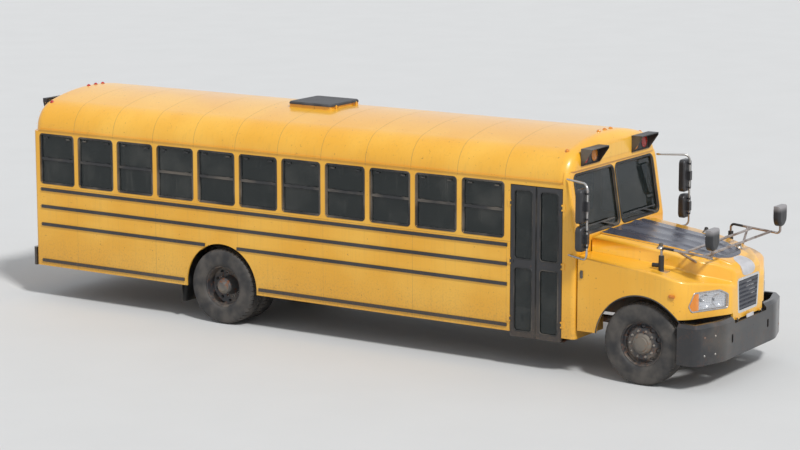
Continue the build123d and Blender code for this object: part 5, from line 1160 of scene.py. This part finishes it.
nose_y, cowl_y, fender_x, mould_round = -5.365, -3.582, 1.195, 0.026


def filleted(corners, radii, steps=12):
    """Straight runs through the corners, with an arc that touches both runs at
    each inner corner of a radius above 0."""
    corners = np.array(corners, float)
    points = [corners[:1]]
    for before, corner, after, radius in zip(corners, corners[1:], corners[2:], radii):
        if radius == 0:
            points.append(corner[None])
            continue
        back = (before - corner) / np.linalg.norm(before - corner)
        ahead = (after - corner) / np.linalg.norm(after - corner)
        half = 0.5 * math.acos(float(back @ ahead))
        middle = corner + (back + ahead) / np.linalg.norm(back + ahead) * radius / math.sin(half)
        first = corner + back * radius / math.tan(half) - middle
        last = corner + ahead * radius / math.tan(half) - middle
        swing = math.pi - 2 * half
        share = np.linspace(0, 1, steps)[:, None]
        points.append(middle + (np.sin((1 - share) * swing) * first
                                + np.sin(share * swing) * last) / math.sin(swing))
    points.append(corners[-1:])
    return np.concatenate(points)


centre_line = filleted([(cowl_y, 1.745), (-4.610, 1.635), (-5.160, 1.520), (nose_y, 1.425),
                        (nose_y, 0.60)], (1.5, 0.42, 0.15))
fender_line = filleted([(cowl_y, 1.565), (-4.710, 1.445), (-5.150, 1.335), (nose_y, 1.265),
                        (nose_y, 0.60)], (0.60, 0.24, 0.10))
fender_plan = filleted([(0.0, nose_y), (0.470, nose_y), (fender_x, -5.020), (fender_x, cowl_y)],
                       (0.26, 0.33))
tongue_plan = filleted([(0.0, -5.340), (0.250, -5.340), (0.480, -4.760), (0.600, cowl_y)],
                       (0.18, 0.50))


def read_off(places, known, wanted):
    """Reads wanted off a line at these places of known. A tiny slope is added to
    known, so that it climbs where the line runs level."""
    return np.interp(places, known + np.linspace(0, 1e-6, len(known)), wanted)


def height(line, y):
    """The height of a side line at these places along the bus."""
    return read_off(y, line[::-1, 0], line[::-1, 1])


def front_y(x, z):
    """How far forward the fender's skin is: the plan and the side line both cut
    the shell, so the skin is the further back of the two."""
    plan = read_off(np.abs(x), fender_plan[:, 0], fender_plan[:, 1])
    return np.maximum(plan, np.interp(z, fender_line[::-1, 1], fender_line[::-1, 0]))


def half_at(plan, y):
    """Half the width of a plan at these places along the bus."""
    return read_off(y, plan[:, 1], plan[:, 0])


def rounded_shell(name, node, body, look, width, chosen):
    """A copy of a CAD node, welded and with its flat faces joined, whose chosen
    outer edges get a round of this width by a weighted Bevel."""
    mesh = nodes[node].data.copy()
    mesh.name = name
    form = bmesh.new()
    form.from_mesh(mesh)
    bmesh.ops.remove_doubles(form, verts=form.verts, dist=2e-5)
    bmesh.ops.dissolve_limit(form, angle_limit=math.radians(0.6), verts=form.verts,
                             edges=form.edges)
    weight = form.edges.layers.float.get("bevel_weight_edge") or form.edges.layers.float.new(
        "bevel_weight_edge")
    for edge in form.edges:
        if len(edge.link_faces) == 2 and edge.calc_face_angle(0.0) > math.radians(20):
            ups = [face.normal.z for face in edge.link_faces]
            middle = (edge.verts[0].co + edge.verts[1].co) / 2
            edge[weight] = 1.0 if chosen(middle, min(ups), max(ups)) else 0.0
    form.to_mesh(mesh)
    form.free()
    mesh.materials.clear()
    mesh.materials.append(look)
    mesh.polygons.foreach_set("use_smooth", np.ones(len(mesh.polygons), bool))
    mesh.set_sharp_from_angle(angle=math.radians(32))
    piece = bpy.data.objects.new(name, mesh)
    bpy.context.collection.objects.link(piece)
    bevel = piece.modifiers.new("rounds", "BEVEL")
    bevel.limit_method = "WEIGHT"
    bevel.width, bevel.segments = width, 5
    bevel.use_clamp_overlap = False
    bevel.harden_normals = True
    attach(piece, body)
    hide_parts(node)
    return piece


def hood_edge(middle, lowest, highest):
    """Upper outer edges of the fenders and the raised centre, but not of the
    tongue or of the openings."""
    clear = abs(middle.x) > half_at(tongue_plan, middle.y) + 0.03 or middle.y < nose_y + 0.020
    grille_rim = abs(middle.x) < 0.34 and middle.z < 1.33
    return lowest > -0.2 and highest > 0.45 and middle.z > 1.235 and clear and not grille_rim


hood_yellow = enamel("hood_yellow", bus_yellow, sun_yellow, no_seams, 0.28, 0.5, 0.45)
rounded_shell("hood_shell", "hood", "hood", hood_yellow, mould_round, hood_edge)

panel_front_y, panel_round = -5.190, 0.17


def top_panel():
    """The panel on two parameters, across and along. Its half width follows the
    raised centre and closes to a round end ahead. It lies on the centre's side
    line, lifted by two outer creases and one middle one, each a bell curve, and
    its edges fall with the square of the distance past 95 hundredths."""
    across = np.linspace(-1, 1, 61)[None, :]
    along = np.r_[np.linspace(0, 0.10, 14)[:-1], np.linspace(0.10, 1.0, 40)][:, None]
    y = panel_front_y + along * (cowl_y + 0.004 - panel_front_y)
    near = np.clip((y - panel_front_y) / panel_round, 0, 1)
    half = (half_at(tongue_plan, y) + 0.004) * np.sqrt(1 - (1 - near) ** 2.2 * 0.985)
    creases = (0.016 * np.exp(-((np.abs(across) - 0.56) / 0.10) ** 2)
               + 0.010 * np.exp(-(across / 0.16) ** 2)) * np.clip(along * 5, 0, 1)
    edge_fall = 0.0235 * np.clip((np.abs(across) - 0.95) / 0.05, 0, 1) ** 2
    end_fall = 0.004 * (1 - np.clip(along / 0.02, 0, 1))
    z = height(centre_line, y) + 0.0225 + creases - edge_fall - end_fall
    return np.stack([across * half, y + 0 * across, z], -1)


def satin_panel(place):
    """Satin blue-black enamel, milky where wax and water have dried on it; the pale lengthwise
    streaks are also a painted reflection.
    """
    # Pale lengthwise streaks: painted reflection together with dried wax and water.
    sheen_and_bloom = place.stretched((1.0, 0.35, 1.0)).noise(4.0, 5.0).step(0.4, 0.75)
    specks = place.noise(60.0, 5.0).step(0.5, 0.75) * 0.5
    veil = sheen_and_bloom * 0.4 + specks * 0.2
    return {"Base Color": veil.between((0.046, 0.050, 0.072, 1), (0.19, 0.19, 0.225, 1)),
            "Roughness": veil * 0.22 + 0.24,
            "Bump": (place.noise(150.0, 3.0), 0.08, 0.001)}


put("hood_panel", *joined([top_panel()], along=False, around=False),
    material("satin_panel", {"Coat Weight": 0.25, "Coat Roughness": 0.2}, satin_panel), "hood",
    "black_paint")

# A blank silver badge plate curves over the nose above the grille
silver = worn("silver_plate", (0.74, 0.73, 0.75, 1), 0.28, 0.45, rusted=0.0, dusted=0.12)
badge_half, badge_flare, badge_lift, badge_skirt = 0.172, 0.030, 0.009, 0.030
badge_line = filleted([(-5.185, float(height(centre_line, -5.185)) + 0.0245), (-5.3695, 1.4490),
                       (-5.3695, 1.322)], (0.13,), 16)


def run_along(line):
    """How far each point of a line is from its start, measured along it."""
    return np.r_[0, np.cumsum(np.linalg.norm(np.diff(line, axis=0), axis=1))]


def badge():
    """The plate on two parameters, out and round: a superellipse whose long way
    runs down the nose, flared towards its upper end and domed by one less the
    sixth power of the distance out. A last ring goes down into the skin."""
    out = np.linspace(0, 1, 12)[:, None]
    turn = turns(48)
    long_way = np.sign(np.sin(turn)) * np.abs(np.sin(turn)) ** 0.6
    wide_way = np.sign(np.cos(turn)) * np.abs(np.cos(turn)) ** 0.6
    runs = run_along(badge_line)
    run = runs[-1] * (0.5 + 0.5 * out * long_way)
    lift = badge_lift * (1 - out ** 6)
    face = np.stack([out * wide_way * (badge_half + badge_flare * out * long_way),
                     np.interp(run, runs, badge_line[:, 0]) - 0.5 * lift,
                     np.interp(run, runs, badge_line[:, 1]) + 0.8 * lift - 0.002], -1)
    return np.concatenate([face, face[-1:] + (0.0, badge_skirt, -badge_skirt)])


put("nose_badge", *joined([badge()], along=False), silver, "hood", "chrome")

# Rubber lips round the wheel arches, hood latches and small amber side lamps
arch_radius, arch_sweep = 0.621, np.radians(np.linspace(7, 173, 60))
lips = []
for side in (-1, 1):
    y = hub_front_y + arch_radius * np.cos(arch_sweep[::side])
    z = axle_z + arch_radius * np.sin(arch_sweep[::side])
    path = np.stack([side * half_at(fender_plan, y), y, z], -1)
    lips.append(carried(path, bead(0.009, 8, 0.9), (side, 0, 0), closed=False))
put("arch_lips", *joined(lips, along=False), rubber_black, "hood", "rubber")
for name, shape, y, z, look, slot in (
        ("hood_latches", pad((0, 0, 0.010), (0.020, 0.052, 0.010), 0.004), -3.640, 1.33,
         rubber_black, "rubber"),
        ("side_lamps", pad((0, 0, 0.004), (0.045, 0.022, 0.012), 0.004), -4.90, 1.190,
         amber_lens, "lens")):
    put(name, *strewn(joined([shape], along=False), [(side * fender_x, y, z) for side in (-1, 1)],
                      [(side, 0, 0) for side in (-1, 1)]), look, "hood", slot)

# The grille: a chromed plastic surround clipped into the nose, with dark slats
# across it and a mesh of dark steel wire stretched over them.

grille_foot_z, grille_mid_z, grille_foot_half, grille_lean = 0.862, 1.086, 0.280, 0.040 / 0.448


def grille_finish(place):
    """Chrome on the surround and dark paint on the slats within it."""
    z = place.part("Z")
    half = (z - grille_foot_z) * grille_lean + (grille_foot_half - 0.0345)
    rim = (place.part("X").size() - half).step(-0.001, 0.001)
    rim = rim.most((z - grille_mid_z).size().step(0.1890, 0.1900))
    film = place.noise(20.0, 4.0).step(0.4, 0.8) * 0.35
    return {"Base Color": rim.between((0.040, 0.043, 0.056, 1), (0.76, 0.75, 0.74, 1)),
            "Metallic": rim * (1.0 - film), "Roughness": film * 0.5 + 0.16}


finish(material("grille_chrome", {}, grille_finish), "grille")
wire_pitch_x, wire_pitch_z, wire_inset, wire_half_y = 0.0165, 0.0135, 0.036, 0.0012
level_half_z, upright_half_x = 0.0020, 0.0018


def wires():
    """The mesh as long thin boxes. Level wires reach to the surround's leaning
    sides, and the feet of the outermost upright wires rise with those sides."""
    z, x = np.arange(0.902, 1.272, wire_pitch_z), np.arange(-0.264, 0.2641, wire_pitch_x)
    half = grille_foot_half - wire_inset + (z - grille_foot_z) * grille_lean
    level = box[None] * np.stack([half, np.full(len(z), wire_half_y),
                                  np.full(len(z), level_half_z)], -1)[:, None]
    level[..., 1] += nose_y + 0.0018
    level[..., 2] += z[:, None]
    foot, top, leaning_x = 0.897, 1.275, 0.245
    feet = foot + np.clip(np.abs(x) - leaning_x, 0, None) / grille_lean
    upright = np.tile(box[None], (len(x), 1, 1)) * np.array([upright_half_x, wire_half_y, 1.0])
    upright[..., 2] = np.where(upright[..., 2] > 0, top, feet[:, None])
    upright[..., 0] += x[:, None]
    upright[..., 1] += nose_y + 0.0036
    corners = np.concatenate([level, upright]).reshape(-1, 3)
    shift = 8 * np.arange(len(corners) // 8)[:, None, None]
    return corners, (box_faces[None] + shift).reshape(-1, 4)


put("grille_mesh", *wires(), worn("mesh_grey", (0.10, 0.107, 0.135, 1), 0.4, 0.4, 0.0, 0.3),
    "hood", "black_paint", crease=20.0)

# The headlamps: one sealed plastic unit a side, with a bright bezel, a clear lens
# over two mirrored bowls, and an amber turn lamp at its outer end.

lamp_corners = [(0.520, 0.985), (0.520, 1.160), (0.640, 1.222), (1.010, 1.222), (1.075, 1.060),
                (1.040, 0.985)]
lamp_middle = np.array([0.800, 1.095])
# Each bowl: x, z and radius
lamp_bowls, bowl_depth = ((0.650, 1.092, 0.085), (0.830, 1.100, 0.092)), 0.045
bezel_share, bulb_inward = 0.985, 0.060
lamp_start = [(0.780, 0.985)]
lamp_loop = filleted(lamp_start + lamp_corners + lamp_start, (0.028,) * 6, 6)
lamp_run = run_along(lamp_loop)
even_run = np.linspace(0, lamp_run[-1], 97)[:-1]
lamp_loop = np.stack([np.interp(even_run, lamp_run, lamp_loop[:, k]) for k in (0, 1)], -1)


def lamp_sheet(side, shrink, inward, bowls=()):
    """The lamp's outline filled by rings, laid on the fender's skin and set back
    from it. Each bowl presses the sheet back by a paraboloid."""
    share = np.linspace(1.0, 0.0, 26)[:, None, None]
    flat = lamp_middle + share * (1 - shrink) * (lamp_loop - lamp_middle)
    x, z = flat[..., 0], flat[..., 1]
    y = front_y(x, z) + inward
    for bowl_x, bowl_z, radius in bowls:
        out = ((x - bowl_x) ** 2 + (z - bowl_z) ** 2) / radius ** 2
        y = y + bowl_depth * np.clip(1 - out, 0, 1)
    return np.stack([side * x, y, z], -1)


def lamp_glass(place):
    """Clear with fine upright flutes, and amber beyond the turn lamp's wall."""
    outer = place.part("X").size().step(0.940, 0.944)
    flute = place.part("X").ridges(0.009)
    return {"Base Color": outer.between((0.55, 0.57, 0.60, 1), (0.80, 0.24, 0.004, 1)),
            "Alpha": outer * 0.62 + flute * 0.06 + 0.20,
            "Roughness": place.noise(30.0, 3.0) * 0.06 + 0.04,
            "Bump": (flute, 0.25, 0.0015)}


def glinting_lamp_mirror(place):
    """Vapour-coated plastic, stepped in facets."""
    steps = place.part("X").ridges(0.022) * 0.5 + place.part("Z").ridges(0.03) * 0.5
    # Painted glints: the crest of each facet is paler.
    return {"Base Color": steps.between((0.55, 0.55, 0.57, 1), (0.85, 0.85, 0.86, 1)),
            "Roughness": steps * 0.12 + 0.12, "Bump": (steps, 0.3, 0.003)}


lens_piece = put("headlamp_lenses", *joined([lamp_sheet(side, 0.03, -0.002)
                                             for side in (-1, 1)], along=False),
                 material("lamp_glass", {"Coat Weight": 0.7, "Coat Roughness": 0.03}, lamp_glass),
                 "hood", "clear_lens")
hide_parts("headlamps")
put("headlamp_bowls", *joined([lamp_sheet(side, 0.0, 0.024, lamp_bowls) for side in (-1, 1)],
                              along=False),
    material("glinting_lamp_mirror", {"Metallic": 0.95}, glinting_lamp_mirror), "hood", "chrome")
bulb_places = [(side * x, float(front_y(x, z)) + bulb_inward, z) for side in (-1, 1)
               for x, z, _ in lamp_bowls]
put("headlamp_bulbs", *strewn(cap(0.016, 0.028, 5, 16), bulb_places, (0, -1, 0)), clear_lens,
    "hood", "clear_lens")
bezels = []
for side in (-1, 1):
    x, z = (lamp_middle + (lamp_loop[::side] - lamp_middle) * bezel_share).T
    path = np.stack([side * x, front_y(x, z) - 0.001, z], -1)
    bezels.append(carried(path, bead(0.012, 8, 0.55), (0, -1, 0)))
put("headlamp_bezels", *joined(bezels), bright_steel, "hood", "chrome")

# The crossview mirrors: thin tubes of browned steel cross the hood on rubber clamps
# and bright feet, and hold two domed mirrors ahead of the nose.

clamp_x, clamp_y, dome_y, dome_z, slot_y, slot_z = 0.985, -4.640, -5.2895, 1.895, -5.3795, 1.915
dome_share, rim_share, dome_bulge = 0.86, 0.88, 0.034


def frame_finish(place):
    """Browned steel tube, black rubber on the clamp and bright on its base."""
    x, y, z = place.part("X").size() - clamp_x, place.part("Y") - clamp_y, place.part("Z")
    out = (x * x + y * y).root()
    grip = out.step(0.0195, 0.0205) * (1.0 - out.step(0.17, 0.18)) * z.step(1.4525, 1.453)
    base = (1.0 - z.step(1.4515, 1.4525)) * (1.0 - out.step(0.12, 0.13))
    brown = place.noise(9.0, 5.0).step(0.4, 0.7)
    steel = brown.between((0.42, 0.37, 0.34, 1), (0.24, 0.17, 0.13, 1))
    pale = base.between(steel, (0.62, 0.60, 0.58, 1))
    return {"Base Color": grip.between(pale, (0.02, 0.02, 0.02, 1)),
            "Metallic": (1.0 - grip) * 0.85,
            "Roughness": grip * 0.35 + brown * 0.1 + 0.24,
            "Bump": (place.noise(120.0, 3.0), 0.1, 0.001)}


finish(material("crossview_steel", {}, frame_finish), "crossview_frames")


def head_with_painted_highlight(place):
    """Black housing, with a painted pale highlight over its top."""
    # Painted highlight: the pale band stands for light on the rounded top of the housing.
    top = place.part("Z").step(1.955, 2.04) * 0.75
    return {"Base Color": top.between((0.02, 0.02, 0.022, 1), (0.36, 0.34, 0.34, 1)),
            "Roughness": top * 0.1 + 0.36, "Bump": (place.noise(380.0, 2.0), 0.3, 0.0008)}


finish(material("crossview_plastic", {}, head_with_painted_highlight), "crossview_heads")
head_loop = filleted([(0.0, 0.150), (0.120, 0.150), (0.120, 0.0), (0.104, -0.060), (0.060, -0.104),
                      (0.0, -0.120)], (0.035, 0.05, 0.06, 0.06), 6)
head_loop = np.vstack([head_loop[:-1], (head_loop * np.array([-1, 1]))[::-1][:-1]])
domes, head_rims = [], []
for side in (-1, 1):
    middle = (side * clamp_x, dome_y, dome_z)
    domes.append(bulged(head_loop * dome_share, middle, dome_bulge, 1))
    head_rims.append(beaded(head_loop * rim_share, middle, (0, 1, 0), 0.007, 6))
put("crossview_domes", *joined(domes, along=False), mirror_glass, "hood", "chrome")
put("crossview_rims", *joined(head_rims), mirror_plastic, "hood", "plastic")
slot_plates = [panel(0.006, 0.055, 0.005, (side * clamp_x, slot_y, slot_z), -1, 0.0012)
               for side in (-1, 1)]
put("crossview_slots", *joined(slot_plates, along=False), sash_black, "hood", "plastic")

foot_shape = np.array([(0.0, 0.050), (0.006, 0.050), (0.012, 0.044), (0.020, 0.036),
                       (0.034, 0.033), (0.036, 0.030), (0.036, 0.0)])
cap_shape = np.array([(0.035, 0.026), (0.062, 0.026), (0.072, 0.021), (0.076, 0.012),
                      (0.077, 0.0)])


def on_end(section):
    """A section of height and radius turned about an upright line."""
    turn = turns(32)
    rise, radius = section[:, :1], section[:, 1:]
    return np.stack([radius * np.cos(turn), radius * np.sin(turn), rise + 0 * turn], -1)


feet = [(side * x, y, float(height(centre_line, y))) for side in (-1, 1)
        for x, y in ((0.425, -5.020), (0.640, -4.450))]
for name, section, look, slot in (("crossview_feet", foot_shape, bright_steel, "chrome"),
                                  ("crossview_caps", cap_shape, rubber_black, "rubber")):
    put(name, *strewn(joined([on_end(section)], along=False), feet, (0, -0.12, 1)), look, "hood",
        slot)

# The front bumper: a deep folded steel channel that wraps the corners, in black
# enamel chipped by stones, with a bare bracket for a plate at its upper edge.

finish(worn("bumper_black", (0.014, 0.014, 0.016, 1), 0.34, 0.0, 0.12, 0.14, 0.35),
       "front_bumper")
bracket_y, bracket_z, bracket_thick, stud_x, stud_z = -5.3985, 0.807, 0.004, 0.085, 0.010
bracket = panel(0.105, 0.024, 0.010, (0.0, bracket_y, bracket_z), -1, bracket_thick)
put("plate_bracket", *joined([bracket], along=False), silver, "chassis", "chrome", crease=20.0)
studs = [(x, bracket_y - bracket_thick, bracket_z + z) for x in (-stud_x, stud_x)
         for z in (-stud_z, stud_z)]
put("bracket_studs", *strewn(cap(0.006, 0.004, 2, 8), studs, (0, -1, 0)), nut_steel, "chassis",
    "steel")
bumper_plan = filleted([(0.0, -5.410), (0.760, -5.410), (body_half, -5.260),
                        (body_half, -4.990)], (0.6, 0.11))
bolts = [(side * x, float(read_off(x, bumper_plan[:, 0], bumper_plan[:, 1])), z)
         for side in (-1, 1) for x in (0.90, 1.08) for z in (0.470, 0.700)]
bolt_normals = [(math.copysign(0.33, x), -0.94, 0) for x, _, _ in bolts]
put("bumper_bolts", *strewn(cap(0.014, 0.007, 4, 16), bolts, bolt_normals), nut_steel, "chassis",
    "steel")
